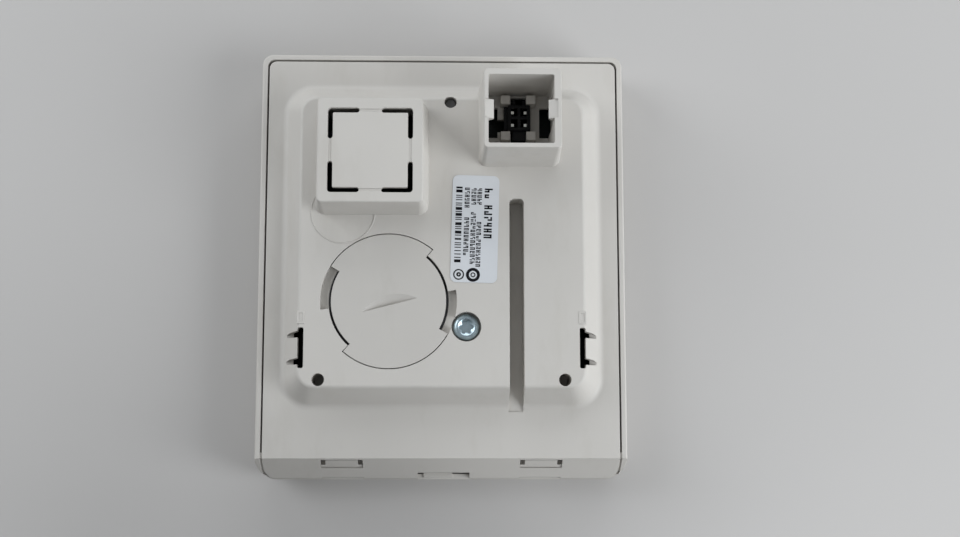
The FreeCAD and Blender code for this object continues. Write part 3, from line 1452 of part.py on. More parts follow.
def make_board_link():
    """Pin strip that joins the two boards, and its carrier."""
    x, y, pitch, count = S.link_x, S.link_y, S.link_pitch, 6
    low, high = MAIN_BOARD_TOP, S.power_board_height
    carrier = block("link_carrier", 2 * pitch, pitch * count, low, high, x, y)
    middle = (count - 1) / 2
    places = [(x + side * pitch / 2, y + (index - middle) * pitch)
              for side in (-1, 1) for index in range(count)]
    bore = S.link_pin_width + 2 * THREAD_PLAY
    bores = [block(f"link_bore_{index}", bore, bore, low - PAST, high + PAST, pin_x, pin_y)
             for index, (pin_x, pin_y) in enumerate(places)]
    strip = cut("link_strip", carrier, bores)
    pins = [block(f"link_pin_{index}", S.link_pin_width, S.link_pin_width, low, high, pin_x, pin_y)
            for index, (pin_x, pin_y) in enumerate(places)]
    return [strip, group("link_pins", pins)]


def make_battery_parts():
    """Coin cell, its holder on the power board, and the two contacts."""
    x, y = S.well_x, S.well_y
    base = POWER_BOARD_TOP
    cell_top = S.cell_base + S.cell_height
    can_top = cell_top - S.cell_step
    can = rod("cell_can", S.cell_radius, S.cell_base, can_top, x, y)
    lid = rod("cell_lid", S.cell_lid_radius, can_top - SINK, cell_top, x, y)
    solid = fuse("cell_solid", [can, lid])
    cell = round_edges("coin_cell", solid, S.cell_edge_radius, level_at(S.cell_base))
    holder_top = base + S.holder_height
    above = holder_top + PAST
    ring = rod("holder_ring", S.holder_radius, base, holder_top, x, y)
    seat = rod("holder_seat", S.cell_radius + S.holder_play, S.cell_base, above, x, y)
    spring_bed = rod("holder_spring_bed", S.spring_radius + S.holder_play, base - PAST, above, x, y)
    finger_gap = block("holder_finger_gap", S.cell_radius, 2 * (S.holder_radius - S.cell_lid_radius),
                       S.cell_base, above, x, y - S.holder_radius)
    clip_gap = block("holder_clip_gap", S.clip_width + 2 * S.clip_thickness, 4, base - PAST, above,
                     x, y + S.holder_radius - S.clip_thickness)
    holder = cut("cell_holder", ring, [seat, spring_bed, finger_gap, clip_gap])
    spring = fuse("cell_spring", [
        rod("spring_foot", S.spring_radius, base, base + S.clip_thickness, x, y),
        rod("spring_rise", S.spring_radius / 2, base, S.cell_base, x, y),
    ])
    clip_y = y + S.cell_radius + S.clip_thickness
    foot_length = 2.0
    clip = fuse("cell_clip", [
        block("clip_upright", S.clip_width, S.clip_thickness, base, can_top - PAST, x, clip_y),
        block("clip_foot", S.clip_width, foot_length, base, base + S.clip_thickness,
              x, clip_y + (foot_length - S.clip_thickness) / 2),
    ])
    return [cell, holder, spring, clip]


def make_cover_seal():
    """Flat rubber ring between the battery cover's disc and the ledge in the well."""
    x, y = S.well_x, S.well_y
    low = S.ledge_top + THREAD_PLAY
    high = PLATEAU_TOP - S.lug_thickness - THREAD_PLAY
    blank = rod("seal_blank", S.well_radius - 2 * THREAD_PLAY, low, high, x, y)
    bore = rod("seal_bore", S.skirt_radius + THREAD_PLAY, low - PAST, high + PAST, x, y)
    return cut("cover_seal", blank, [bore])


def make_centre_screw():
    """Pan-head screw with a six-lobed drive, down through the rear cover into the spacer."""
    x, y = S.screw_x, S.screw_y
    seat = PLATEAU_TOP - S.counterbore_depth
    head_top = seat + S.screw_head_height
    blank = rod("screw_head_blank", S.screw_head_radius, seat, head_top, x, y)
    head = round_edges("screw_head", blank, S.screw_head_edge, level_at(head_top))
    shank = rod("screw_shank", S.screw_shank_radius, POWER_BOARD_TOP - PAST, seat + SINK, x, y)
    low, high = head_top - S.drive_depth, head_top + PAST
    lobes = [rod("drive_core", S.drive_radius, low, high, x, y)]
    for index in range(6):
        angle = radians(60 * index)
        lobe_x = x + S.drive_radius * cos(angle)
        lobe_y = y + S.drive_radius * sin(angle)
        lobes.append(rod(f"drive_lobe_{index}", S.drive_lobe_radius, low, high, lobe_x, lobe_y))
    mouth = doc.addObject("Part::Cone", "drive_mouth")
    bind(mouth, Radius1=S.drive_radius, Radius2=S.drive_mouth_radius, Height=S.drive_mouth_depth)
    place(mouth, x, y, head_top - S.drive_mouth_depth)
    return cut("centre_screw", fuse("screw_solid", [head, shank]), [*lobes, mouth])


def make_threaded_spacer():
    """Brass spacer on the power board that takes the centre screw."""
    x, y = S.screw_x, S.screw_y
    top = POWER_BOARD_TOP + SPACER_HEIGHT
    blank = rod("spacer_blank", S.spacer_radius, POWER_BOARD_TOP, top, x, y)
    bore = rod("spacer_bore", S.screw_shank_radius + THREAD_PLAY, POWER_BOARD_TOP - PAST, top + PAST, x, y)
    return cut("threaded_spacer", blank, [bore])


def make_tamper_switch():
    """Switch under the upper bracket hole, and the plunger that a bracket peg pushes down."""
    x, y = S.top_well_x, S.top_well_y
    base = POWER_BOARD_TOP
    top = base + S.switch_height
    body = block("switch_body", S.switch_size, S.switch_size, base, top, x, y)
    play = 0.1
    bore_floor = base + S.switch_height / 8
    bore = rod("switch_bore", S.plunger_stem_radius + 2 * play, bore_floor, top + PAST, x, y)
    switch = cut("tamper_switch", body, [bore])
    stem_bottom = bore_floor + S.plunger_travel + play
    collar_bottom = top + S.plunger_travel + play
    plunger = fuse("tamper_plunger", [
        rod("plunger_stem", S.plunger_stem_radius, stem_bottom, collar_bottom + SINK, x, y),
        rod("plunger_rod", S.plunger_radius, collar_bottom, S.plunger_top, x, y),
    ])
    return [switch, plunger]


def make_power_components():
    """Two smoothing capacitors and a relay on the power board, inside the plateau's hollow."""
    base = POWER_BOARD_TOP
    capacitors = [rod(f"capacitor_{index}", S.capacitor_radius, base, base + S.capacitor_height,
                      S.capacitor_x - index * S.capacitor_spacing, S.capacitor_y) for index in range(2)]
    relay = block("relay", S.relay_width, S.relay_length, base, base + S.relay_height, S.relay_x, S.relay_y)
    return [group("power_capacitors", capacitors), relay]


def make_data_label():
    label = slab("data_label", S.label_width, S.label_length, S.label_radius, PLATEAU_TOP,
                 PLATEAU_TOP + S.label_thickness)
    return place(label, S.label_x, S.label_y, 0, turn=S.label_turn)


KEY_NAMES = (
    ("key_1", "key_2", "key_3", "key_arm"),
    ("key_4", "key_5", "key_6", "key_part_arm"),
    ("key_7", "key_8", "key_9", "key_disarm"),
    ("key_star", "key_0", "key_hash", "key_enter"),
)


def make_all():
    """Build every sub-part and return it under its node name."""
    nodes = {"front_shell": make_front_shell(), "rear_cover": make_rear_cover()}
    for column, row, x, y in key_places():
        name = KEY_NAMES[row][column]
        nodes[name] = make_key(name, x, y)
    nodes["key_mat"] = make_key_mat()
    nodes["display_lens"] = make_display_lens()
    nodes["lcd_glass"], nodes["lcd_frame"] = make_display_module()
    nodes["main_board"] = make_main_board()
    nodes["board_screws"] = make_board_screws()
    nodes["status_light_pipes"], nodes["status_lamps"] = make_status_lights()
    nodes["buzzer"] = make_buzzer()
    nodes["board_chips"] = make_board_chips()
    nodes["link_strip"], nodes["link_pins"] = make_board_link()
    nodes["power_board"] = make_power_board()
    nodes["power_board_screws"] = make_power_board_screws()
    nodes["header_housing"], nodes["header_pins"] = make_header()
    nodes["tamper_switch"], nodes["tamper_plunger"] = make_tamper_switch()
    nodes["power_capacitors"], nodes["relay"] = make_power_components()
    nodes["coin_cell"], nodes["cell_holder"], nodes["cell_spring"], nodes["cell_clip"] = make_battery_parts()
    nodes["battery_cover"] = make_battery_cover()
    nodes["cover_seal"] = make_cover_seal()
    nodes["centre_screw"] = make_centre_screw()
    nodes["threaded_spacer"] = make_threaded_spacer()
    nodes["data_label"] = make_data_label()
    return nodes


def check_features():
    """Stop if any object failed, or if any pocket took nothing away."""
    for item in doc.Objects:
        if "Invalid" in item.State or "Error" in item.State:
            raise RuntimeError(f"{item.Name} failed: {item.State}")
        if item.TypeId != "PartDesign::Pocket" or item.BaseFeature is None:
            continue
        if item.Shape.Volume > item.BaseFeature.Shape.Volume - 1e-3:
            raise RuntimeError(f"{item.Name} cut nothing")


def write_parts(nodes):
    """Check each sub-part's shape and write it to its own file."""
    os.makedirs("parts", exist_ok=True)
    for name, item in nodes.items():
        item.Label = name
        shape = item.Shape
        if shape.isNull() or not shape.isValid() or shape.Volume <= 0:
            raise RuntimeError(f"{name} has no valid shape")
        shape.exportStep(os.path.join("parts", f"{name}.step"))
        print(f"{name}: {len(shape.Solids)} solid(s), {shape.Volume / 1000:.2f} cm3")


parts = make_all()
doc.recompute()
check_features()
write_parts(parts)
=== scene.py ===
import bpy
import bmesh
import json
import random
from math import cos, pi, radians, sin
from mathutils import Matrix, Vector


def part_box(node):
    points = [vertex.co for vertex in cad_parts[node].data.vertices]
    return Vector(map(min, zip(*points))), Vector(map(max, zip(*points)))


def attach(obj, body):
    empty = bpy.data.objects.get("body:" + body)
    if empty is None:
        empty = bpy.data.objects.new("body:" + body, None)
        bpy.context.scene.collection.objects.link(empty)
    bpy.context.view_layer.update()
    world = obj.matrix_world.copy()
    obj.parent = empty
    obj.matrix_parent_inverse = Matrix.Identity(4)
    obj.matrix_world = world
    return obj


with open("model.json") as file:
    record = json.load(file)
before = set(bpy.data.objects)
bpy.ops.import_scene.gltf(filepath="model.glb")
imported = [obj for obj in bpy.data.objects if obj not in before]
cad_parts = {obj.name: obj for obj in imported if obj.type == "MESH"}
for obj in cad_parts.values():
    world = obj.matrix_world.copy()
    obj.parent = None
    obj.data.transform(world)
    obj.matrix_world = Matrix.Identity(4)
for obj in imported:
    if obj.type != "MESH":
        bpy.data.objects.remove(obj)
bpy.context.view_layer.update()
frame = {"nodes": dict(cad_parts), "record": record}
nodes = frame["nodes"]
MM = 0.001


def link_to_scene(item):
    bpy.context.scene.collection.objects.link(item)


# Camera and lights

SENSOR = 36.0
LENS = 50.502
CAMERA_PLACE = (0.35 * MM, -62.16 * MM, 457.47 * MM)
CAMERA_TURNS = (("X", 0.1373165), ("Y", -0.0272715), ("Z", 0.0031956))

DAYLIGHT = (0.965, 1.0, 1.035)
SKY_STRENGTH = 0.31
# Soft boxes, all aimed at the origin: place, width and height in metres, and power in watts
SOFT_BOXES = {
    "soft_right": ((0.9, -0.38, 0.50), (0.7, 0.9), 9.4),
    "soft_left": ((-0.95, 0.45, 0.62), (0.7, 1.1), 6.3),
    "soft_back": ((0.1, 1.0, 0.55), (1.2, 0.5), 3.8),
    "soft_front": ((-0.1, -0.95, 0.55), (1.0, 0.4), 1.4),
}


def add_camera():
    """The lens and the place from which the keypad's rear is seen, nearly from straight above."""
    data = bpy.data.cameras.new("camera")
    data.sensor_width = SENSOR
    data.lens = LENS
    data.clip_start = 10 * MM
    camera = bpy.data.objects.new("camera", data)
    link_to_scene(camera)
    tilt = Matrix()
    for axis, angle in CAMERA_TURNS:
        tilt = tilt @ Matrix.Rotation(angle, 4, axis)
    camera.matrix_world = Matrix.Translation(CAMERA_PLACE) @ tilt
    bpy.context.scene.camera = camera


def add_soft_box(name, place, size, watts):
    data = bpy.data.lights.new(name, "AREA")
    data.shape = "RECTANGLE"
    data.size, data.size_y = size
    data.energy = watts
    data.color = DAYLIGHT
    light = bpy.data.objects.new(name, data)
    light.location = place
    light.rotation_euler = (-Vector(place)).to_track_quat("-Z", "Y").to_euler()
    link_to_scene(light)


def add_sky():
    """Even light from all sides."""
    world = bpy.data.worlds.new("studio")
    bpy.context.scene.world = world
    world.use_nodes = True
    background = world.node_tree.nodes["Background"]
    background.inputs["Color"].default_value = (*DAYLIGHT, 1)
    background.inputs["Strength"].default_value = SKY_STRENGTH


add_camera()
add_sky()
for light_name, (light_place, light_size, light_watts) in SOFT_BOXES.items():
    add_soft_box(light_name, light_place, light_size, light_watts)
bpy.context.scene.view_settings.view_transform = "Standard"


# Materials

WHITE = (1, 1, 1)


def shade(colour, factor):
    return tuple(channel * factor for channel in colour)


class Shader:
    """One node material: a principled surface, and helpers that wire procedural detail into it."""

    def __init__(self, name):
        self.material = bpy.data.materials.new(name)
        self.material.use_nodes = True
        self.tree = self.material.node_tree
        self.surface = self.tree.nodes["Principled BSDF"]
        self.place = self.tree.nodes.new("ShaderNodeTexCoord").outputs["Object"]

    def set(self, **values):
        """Give the surface's own sockets plain values."""
        for socket, value in values.items():
            self.surface.inputs[socket.replace("_", " ")].default_value = value
        return self

    def node(self, kind, **values):
        item = self.tree.nodes.new(kind)
        for key, value in values.items():
            setattr(item, key, value)
        return item

    def link(self, output, target):
        self.tree.links.new(output, target)

    def stretched(self, scale):
        """Object coordinates, scaled unevenly."""
        mapping = self.node("ShaderNodeMapping")
        mapping.inputs["Scale"].default_value = scale
        self.link(self.place, mapping.inputs["Vector"])
        return mapping.outputs["Vector"]

    def noise(self, per_metre, detail=3, roughness=0.55, where=None):
        item = self.node("ShaderNodeTexNoise")
        item.inputs["Scale"].default_value = per_metre
        item.inputs["Detail"].default_value = detail
        item.inputs["Roughness"].default_value = roughness
        self.link(where or self.place, item.inputs["Vector"])
        return item.outputs["Fac"]

    def bricks(self, first, second, mortar, sizes, offset=0.5):
        """A brick pattern: its two brick colours, the line between bricks, and its sizes."""
        item = self.node("ShaderNodeTexBrick", offset=offset)
        for socket, colour in (("Color1", first), ("Color2", second), ("Mortar", mortar)):
            item.inputs[socket].default_value = (*colour, 1)
        for socket, size in sizes.items():
            item.inputs[socket].default_value = size
        self.link(self.place, item.inputs["Vector"])
        return item.outputs

    def ramp(self, value, low, high, start=0.3, end=0.7):
        """Blend from one colour to another as a value rises."""
        item = self.node("ShaderNodeValToRGB")
        for element, place, colour in zip(item.color_ramp.elements, (start, end), (low, high)):
            element.position = place
            element.color = (*colour, 1)
        self.link(value, item.inputs["Fac"])
        return item.outputs["Color"]

    def span(self, value, low, high, start=0.3, end=0.7):
        """Stretch a value between two numbers."""
        item = self.node("ShaderNodeMapRange")
        sockets = ("From Min", "From Max", "To Min", "To Max")
        for socket, number in zip(sockets, (start, end, low, high)):
            item.inputs[socket].default_value = number
        self.link(value, item.inputs["Value"])
        return item.outputs["Result"]

    def multiply(self, first, second, amount=1.0):
        item = self.node("ShaderNodeMix", data_type="RGBA", blend_type="MULTIPLY")
        item.inputs["Factor"].default_value = amount
        self.link(first, item.inputs["A"])
        self.link(second, item.inputs["B"])
        return item.outputs["Result"]

    def bump(self, height, strength, distance, normal=None):
        item = self.node("ShaderNodeBump")
        item.inputs["Strength"].default_value = strength
        item.inputs["Distance"].default_value = distance
        self.link(height, item.inputs["Height"])
        if normal is not None:
            self.link(normal, item.inputs["Normal"])
        return item.outputs["Normal"]

    def soft_edges(self, radius):
        item = self.node("ShaderNodeBevel", samples=4)
        item.inputs["Radius"].default_value = radius
        return item.outputs["Normal"]

    def finish(self, colour, roughness, normal=None):
        self.link(colour, self.surface.inputs["Base Color"])
        self.link(roughness, self.surface.inputs["Roughness"])
        if normal is not None:
            self.link(normal, self.surface.inputs["Normal"])
        return self.material


def moulded_plastic(name, colour, roughness=(0.42, 0.6), grain=0.5, edge=0.25 * MM, wear=0.05,
                    shine=0.5):
    """Fine spark-eroded texture, faint handling marks and slow colour drift over the moulding."""
    shader = Shader(name).set(Specular_IOR_Level=shine)
    drift = shader.noise(18, detail=2)
    base = shader.ramp(drift, shade(colour, 1 - wear), shade(colour, 1 + wear / 2))
    smudge = shader.noise(70, detail=5, roughness=0.65, where=shader.stretched((1, 0.35, 1)))
    marks = shader.ramp(smudge, (0.93, 0.925, 0.91), WHITE, 0.32, 0.46)
    tone = shader.multiply(base, marks, 0.6)
    gloss = shader.span(shader.noise(160, detail=4), *roughness)
    normal = shader.soft_edges(edge) if edge else None
    coarse = shader.bump(shader.noise(900, detail=2), 0.12 * grain, 0.1 * MM, normal)
    fine = shader.bump(shader.noise(4200, detail=2), 0.5 * grain, 0.03 * MM, coarse)
    return shader.finish(tone, gloss, fine)


def plated_metal(name, colour, roughness=(0.18, 0.36), streak=(1, 1, 1)):
    """Plated or drawn metal with fine streaks and uneven gloss."""
    shader = Shader(name).set(Metallic=1.0)
    patch = shader.noise(500, detail=4, where=shader.stretched(streak))
    tone = shader.ramp(patch, shade(colour, 0.82), colour)
    gloss = shader.span(shader.noise(1400, detail=3, where=shader.stretched(streak)), *roughness)
    edges = shader.soft_edges(0.15 * MM)
    normal = shader.bump(shader.noise(2600, detail=3), 0.25, 0.02 * MM, edges)
    return shader.finish(tone, gloss, normal)


def rubber(name, colour):
    """Dull rubber with a little dust on it."""
    shader = Shader(name)
    dust = shader.noise(240, detail=5)
    tone = shader.ramp(dust, colour, shade(colour, 1.5), 0.35, 0.75)
    normal = shader.bump(shader.noise(3000), 0.5, 0.04 * MM)
    return shader.finish(tone, shader.span(dust, 0.7, 0.9), normal)


def circuit_board(name, colour):
    """Solder mask with faint copper runs under it."""
    shader = Shader(name).set(Specular_IOR_Level=0.25)
    runs = shader.bricks(colour, shade(colour, 0.8), shade(colour, 1.6),
                         {"Scale": 260, "Mortar Size": 0.03})
    tint = shader.ramp(shader.noise(60), shade(WHITE, 0.85), WHITE)
    tone = shader.multiply(runs["Color"], tint)
    gloss = shader.span(shader.noise(300), 0.3, 0.45)
    normal = shader.bump(runs["Fac"], 0.3, 0.05 * MM)
    return shader.finish(tone, gloss, normal)


def clear_plastic(name, colour, transmission=0.9):
    """Clear or tinted plastic with a faint haze."""
    shader = Shader(name).set(Transmission_Weight=transmission, IOR=1.49)
    haze = shader.noise(120, detail=4)
    tone = shader.ramp(haze, shade(colour, 0.95), colour)
    gloss = shader.span(haze, 0.04, 0.12)
    return shader.finish(tone, gloss, shader.bump(haze, 0.05, 0.02 * MM))


def liquid_crystal(name, first, second, line):
    """Grey-green display cell with a faint grid of character boxes."""
    shader = Shader(name)
    boxes = {"Scale": 1, "Brick Width": 3.6 * MM, "Row Height": 6.2 * MM, "Mortar Size": 0.35 * MM}
    cells = shader.bricks(first, second, line, boxes, offset=0.0)
    tint = shader.ramp(shader.noise(40), shade(WHITE, 0.94), WHITE)
    tone = shader.multiply(cells["Color"], tint)
    return shader.finish(tone, shader.span(shader.noise(200), 0.12, 0.2))


def label_film(name, low, high):
    """Bluish-white printed film with a slight sheen."""
    shader = Shader(name)
    tone = shader.ramp(shader.noise(90, detail=4), low, high)
    gloss = shader.span(shader.noise(260), 0.28, 0.4)
    normal = shader.bump(shader.noise(700), 0.15, 0.05 * MM, shader.soft_edges(0.1 * MM))
    return shader.finish(tone, gloss, normal)


def ink(name, colour):
    """Dull print with a fine mottle."""
    shader = Shader(name).set(Specular_IOR_Level=0.12)
    tone = shader.ramp(shader.noise(5000, detail=2), colour, shade(colour, 1.9), 0.35, 0.7)
    return shader.finish(tone, shader.span(shader.noise(3000), 0.45, 0.6))


def table_top(name, low, high):
    """Plain pale table with slow, faint variation."""
    shader = Shader(name).set(Specular_IOR_Level=0.2)
    tone = shader.ramp(shader.noise(3, detail=3), low, high)
    gloss = shader.span(shader.noise(60), 0.72, 0.8)
    return shader.finish(tone, gloss, shader.bump(shader.noise(1200), 0.1, 0.05 * MM))


CASE = (0.613, 0.589, 0.551)
FILM = {"low": (0.66, 0.68, 0.705), "high": (0.695, 0.715, 0.74)}
DISPLAY = {"first": (0.20, 0.245, 0.17), "second": (0.205, 0.25, 0.175), "line": (0.235, 0.285, 0.20)}
KEY_FINISH = {"roughness": (0.35, 0.5), "grain": 0.3, "edge": 0.1 * MM}
PLUNGER_FINISH = {"roughness": (0.4, 0.5), "grain": 0.3, "edge": 0.1 * MM}
FRAME_FINISH = {"roughness": (0.4, 0.6), "grain": 0.4, "edge": None}
HOUSING_FINISH = {"roughness": (0.4, 0.6), "grain": 0.4, "edge": 0.1 * MM, "wear": 0.2, "shine": 0.2}

# Each material slot's recipe, and the values that it takes
LOOKS = {
    "case_plastic": (moulded_plastic, {"colour": CASE}),
    "cover_plastic": (moulded_plastic, {"colour": CASE}),
    "battery_cover_plastic": (moulded_plastic, {"colour": shade(CASE, 0.955)}),
    "key_plastic": (moulded_plastic, {"colour": (0.55, 0.555, 0.55), **KEY_FINISH}),
    "key_plastic_dark": (moulded_plastic, {"colour": (0.11, 0.12, 0.135), **KEY_FINISH}),
    "mat_rubber": (rubber, {"colour": (0.26, 0.27, 0.28)}),
    "lens_plastic": (clear_plastic, {"colour": (0.42, 0.46, 0.46)}),
    "lcd_cell": (liquid_crystal, DISPLAY),
    "frame_plastic": (moulded_plastic, {"colour": (0.02, 0.02, 0.022), **FRAME_FINISH}),
    # painted shade: the board's own dark green is darkened to near-black so the openings above it
    # read as deep shade
    "circuit_board": (circuit_board, {"colour": (0.004, 0.011, 0.007)}),
    "screw_steel": (plated_metal, {"colour": (0.55, 0.67, 0.73), "roughness": (0.26, 0.42)}),
    "light_pipe": (clear_plastic, {"colour": (0.85, 0.88, 0.85), "transmission": 0.7}),
    "lamp_body": (clear_plastic, {"colour": (0.8, 0.8, 0.62), "transmission": 0.4}),
    "black_plastic": (moulded_plastic, {"colour": (0.006, 0.006, 0.007), **HOUSING_FINISH}),
    "pin_metal": (plated_metal, {"colour": (0.80, 0.79, 0.72), "roughness": (0.1, 0.2)}),
    "plunger_plastic": (moulded_plastic, {"colour": (0.10, 0.10, 0.10), **PLUNGER_FINISH}),
    "capacitor_sleeve": (plated_metal, {"colour": (0.05, 0.055, 0.07), "roughness": (0.3, 0.45),
                                        "streak": (1, 1, 8)}),
    "cell_steel": (plated_metal, {"colour": (0.62, 0.62, 0.61), "roughness": (0.15, 0.3),
                                  "streak": (1, 9, 1)}),
    "seal_rubber": (rubber, {"colour": (0.02, 0.02, 0.022)}),
    "spacer_brass": (plated_metal, {"colour": (0.62, 0.46, 0.20), "roughness": (0.2, 0.35),
                                    "streak": (9, 9, 1)}),
    "label_film": (label_film, FILM),
}
MATERIALS = {slot: recipe(slot, **look) for slot, (recipe, look) in LOOKS.items()}

for part in frame["record"]["subparts"]:
    obj = nodes[part["node"]]
    obj.data.materials.clear()
    obj.data.materials.append(MATERIALS[part["material_slot"]])
    for polygon in obj.data.polygons:
        polygon.material_index = 0


# Pieces that add detail to the CAD nodes

# The label's print, in millimetres from the label's middle, x across it and y along it
INK = 0.03 * MM
PRINT_INK = (0.006, 0.006, 0.008)
PRINT_SEED = 7
PRINT_LEAN = -1.6
# Rows of marks: x, start, end, height, pitch
MARK_ROWS = (
    (-2.75, 13.4, 6.2, 1.6, 1.15),
    (-2.75, 3.6, -9.4, 1.6, 1.15),
    (-0.6, 13.3, 7.1, 1.6, 1.15),
    (-0.6, 5.4, -12.6, 1.6, 1.15),
    (1.25, 13.3, 7.6, 1.5, 1.15),
    (1.25, 2.25, -12.9, 1.5, 1.15),
    (4.15, 13.3, 9.4, 2.6, 1.9),
    (4.15, 7.8, -3.9, 2.6, 1.9),
)
# A mark's strokes, as shares of the row's pitch
MARK_STROKE = 0.27
MARK_WIDTH = 0.68
BARS_X = -5.35
BARS_START = 13.65
BARS_END = -10.6
BARS_WIDTH = 2.05
BAR_SIZES = (0.3, 0.3, 0.6, 0.95)
BAR_GAPS = (0.35, 0.5, 0.8)
# Rings: x, outer and inner radius
RINGS_Y = -15.0
RINGS = ((-4.8, 1.75, 1.35), (-4.8, 0.75, 0.25), (-0.2, 2.25, 1.3), (-0.2, 0.8, 0.45))
RING_SIDES = 40

# The keys' signs, in millimetres
LEGEND_INK = (0.03, 0.03, 0.035)
LEGEND_INK_PALE = (0.45, 0.46, 0.47)
LEGEND_SIZE = 7.5
LEGEND_DEPTH = 0.06 * MM
LEGENDS = {f"key_{digit}": str(digit) for digit in range(10)}
LEGENDS.update({"key_star": "*", "key_hash": "#"})
SIGN_RADIUS = 2.8
SIGN_HOLE = 2.2
SIGN_PIN_HOLE = 0.15
# How full the ring's disc is on each of these keys
SIGN_DISCS = {"key_arm": 0.6, "key_part_arm": 0.3, "key_disarm": None}
# The enter key's bars: width and y
SIGN_BARS = ((6.0, 1.5), (4.4, 0.0), (2.8, -1.5))
SIGN_BAR_HEIGHT = 0.9


def new_piece(name, mesh, material, body):
    piece = bpy.data.objects.new(name, mesh)
    link_to_scene(piece)
    piece.data.materials.clear()
    piece.data.materials.append(material)
    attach(piece, body)
    return piece


def finished_mesh(name, drawing):
    """A drawing turned into a mesh, with its faces turned outward."""
    bmesh.ops.recalc_face_normals(drawing, faces=drawing.faces)
    data = bpy.data.meshes.new(name)
    drawing.to_mesh(data)
    drawing.free()
    return data


def add_plate(drawing, width, length, place):
    """A thin rectangular patch of ink, its size in millimetres."""
    matrix = place @ Matrix.Diagonal((width * MM, length * MM, INK, 1))
    bmesh.ops.create_cube(drawing, size=1, matrix=matrix)


def add_ring(drawing, outer, inner, thickness, place):
    """A thin flat ring, or a disc with a pin-hole where inner is small, its radii in millimetres."""
    half = thickness / 2
    angles = [2 * pi * side / RING_SIDES for side in range(RING_SIDES)]
    loops = []
    for radius, height in ((outer, -half), (outer, half), (inner, half), (inner, -half)):
        reach = radius * MM
        points = [Vector((reach * cos(angle), reach * sin(angle), height)) for angle in angles]
        loops.append([drawing.verts.new(place @ point) for point in points])
    for first, second in zip(loops, loops[1:] + loops[:1]):
        for side in range(RING_SIDES):
            after = (side + 1) % RING_SIDES
            drawing.faces.new((first[side], first[after], second[after], second[side]))


def add_bars(drawing, rng, at):
    """A strip of bars of random width."""
    y = BARS_START
    while y > BARS_END:
        bar = rng.choice(BAR_SIZES)
        add_plate(drawing, BARS_WIDTH, bar, at(BARS_X, y - bar / 2))
        y -= bar + rng.choice(BAR_GAPS)


def add_mark_row(drawing, rng, at, x, start, end, height, pitch):
    """A row of plain marks that stands for a line of print: uprights joined by a cross stroke."""
    stroke = MARK_STROKE * pitch
    width = MARK_WIDTH * pitch
    y = start
    while y - width > end:
        middle = y - width / 2
        for side in (-1, 1):
            tall = height * rng.choice((0.55, 1.0, 1.0))
            shift = (height - tall) / 2 * rng.choice((-1, 1))
            add_plate(drawing, tall, stroke, at(x + shift, middle + side * (width - stroke) / 2))
        shift = height * rng.choice((-0.4, 0.0, 0.4))
        add_plate(drawing, stroke, width, at(x + shift, middle))
        y -= pitch


def add_label_print():
    """Generic print on the rating label: a strip of bars, rows of plain marks for text, rings."""
    low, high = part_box("data_label")
    centre = (low + high) / 2
    rng = random.Random(PRINT_SEED)
    drawing = bmesh.new()
    lean = Matrix.Rotation(radians(PRINT_LEAN), 4, "Z")

    def at(x, y):
        on_film = Matrix.Translation((centre.x, centre.y, high.z + INK / 3))
        return on_film @ lean @ Matrix.Translation((x * MM, y * MM, 0))

    add_bars(drawing, rng, at)
    for x, start, end, height, pitch in MARK_ROWS:
        add_mark_row(drawing, rng, at, x, start, end, height, pitch)
    for x, outer, inner in RINGS:
        add_ring(drawing, outer, inner, INK, at(x, RINGS_Y))
    data = finished_mesh("label_print", drawing)
    new_piece("label_print", data, ink("print_ink", PRINT_INK), "case")


def text_mesh(name, words, size, depth):
    """Flat lettering turned into a closed mesh."""
    curve = bpy.data.curves.new(name, "FONT")
    curve.body = words
    curve.size = size
    curve.extrude = depth / 2
    curve.align_x = "CENTER"
    curve.align_y = "CENTER"
    curve.resolution_u = 6
    holder = bpy.data.objects.new(f"{name}_curve", curve)
    link_to_scene(holder)
    bpy.context.view_layer.update()
    flat = holder.evaluated_get(bpy.context.evaluated_depsgraph_get())
    data = bpy.data.meshes.new_from_object(flat)
    bpy.data.objects.remove(holder)
    return data


def key_face(key):
    """The place at the middle of a key's face, which looks down in the stored pose."""
    low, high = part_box(key)
    return Matrix.Translation(((low.x + high.x) / 2, (low.y + high.y) / 2, low.z))


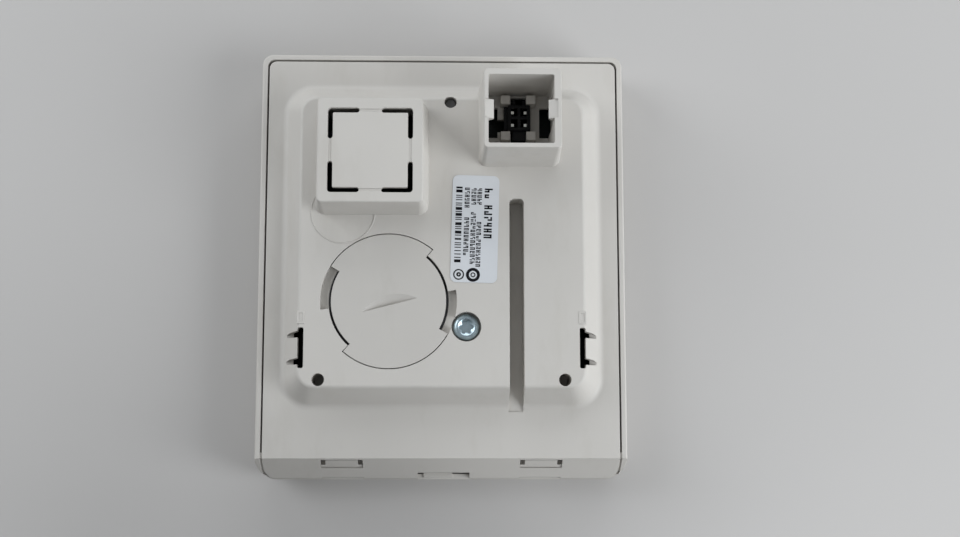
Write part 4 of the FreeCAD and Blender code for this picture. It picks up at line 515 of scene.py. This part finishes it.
def add_legends():
    """Numbers and generic signs on the key faces."""
    dark = ink("legend_ink", LEGEND_INK)
    light = ink("legend_ink_pale", LEGEND_INK_PALE)
    face_down = Matrix.Rotation(pi, 4, "Y")
    for key, words in LEGENDS.items():
        data = text_mesh(f"{key}_legend", words, LEGEND_SIZE * MM, LEGEND_DEPTH)
        data.transform(key_face(key) @ face_down)
        new_piece(f"{key}_legend", data, dark, f"{key}_cap")
    for key in (*SIGN_DISCS, "key_enter"):
        drawing = bmesh.new()
        if key in SIGN_DISCS:
            add_ring_sign(drawing, SIGN_DISCS[key], key_face(key))
        else:
            add_bar_sign(drawing, key_face(key))
        data = finished_mesh(f"{key}_legend", drawing)
        new_piece(f"{key}_legend", data, light, f"{key}_cap")


def add_ring_sign(drawing, disc, place):
    """A ring with an empty, half full or full middle."""
    add_ring(drawing, SIGN_RADIUS, SIGN_HOLE, LEGEND_DEPTH, place)
    if disc:
        add_ring(drawing, SIGN_RADIUS * disc, SIGN_PIN_HOLE, LEGEND_DEPTH, place)


def add_bar_sign(drawing, place):
    """Three bars, each shorter than the one above."""
    for width, y in SIGN_BARS:
        add_plate(drawing, width, SIGN_BAR_HEIGHT, place @ Matrix.Translation((0, y * MM, 0)))


add_label_print()
add_legends()


# Floor and light flag

FLOOR_HALF = 3.0
FLOOR_LEVEL = -0.02 * MM
TABLE = {"low": (0.54, 0.525, 0.51), "high": (0.57, 0.555, 0.54)}
FLAG_CLOTH = (0.03, 0.03, 0.03)
# The flag's left, right, bottom and top edge, and its distance from the keypad's middle, in metres
FLAG_LEFT = -0.14
FLAG_RIGHT = 0.09
FLAG_LOW = 0.022
FLAG_HIGH = 0.15
FLAG_Y = -0.13


def studio_sheet(name, corners, material):
    mesh = bpy.data.meshes.new(name)
    mesh.from_pydata(corners, [], [(0, 1, 2, 3)])
    mesh.materials.append(material)
    sheet = bpy.data.objects.new(name, mesh)
    link_to_scene(sheet)
    return sheet


def add_floor():
    signs = ((-1, -1), (1, -1), (1, 1), (-1, 1))
    corners = [(x * FLOOR_HALF, y * FLOOR_HALF, FLOOR_LEVEL) for x, y in signs]
    floor = studio_sheet("table", corners, table_top("table_top", **TABLE))


def add_flag():
    """A dark card that hangs off the keypad's foot, holds back light from there and isn't seen."""
    foot = [(x, FLAG_Y, FLAG_LOW) for x in (FLAG_LEFT, FLAG_RIGHT)]
    head = [(x, FLAG_Y, FLAG_HIGH) for x in (FLAG_RIGHT, FLAG_LEFT)]
    flag = studio_sheet("flag", foot + head, ink("flag_cloth", FLAG_CLOTH))
    flag.visible_camera = False


add_floor()
add_flag()
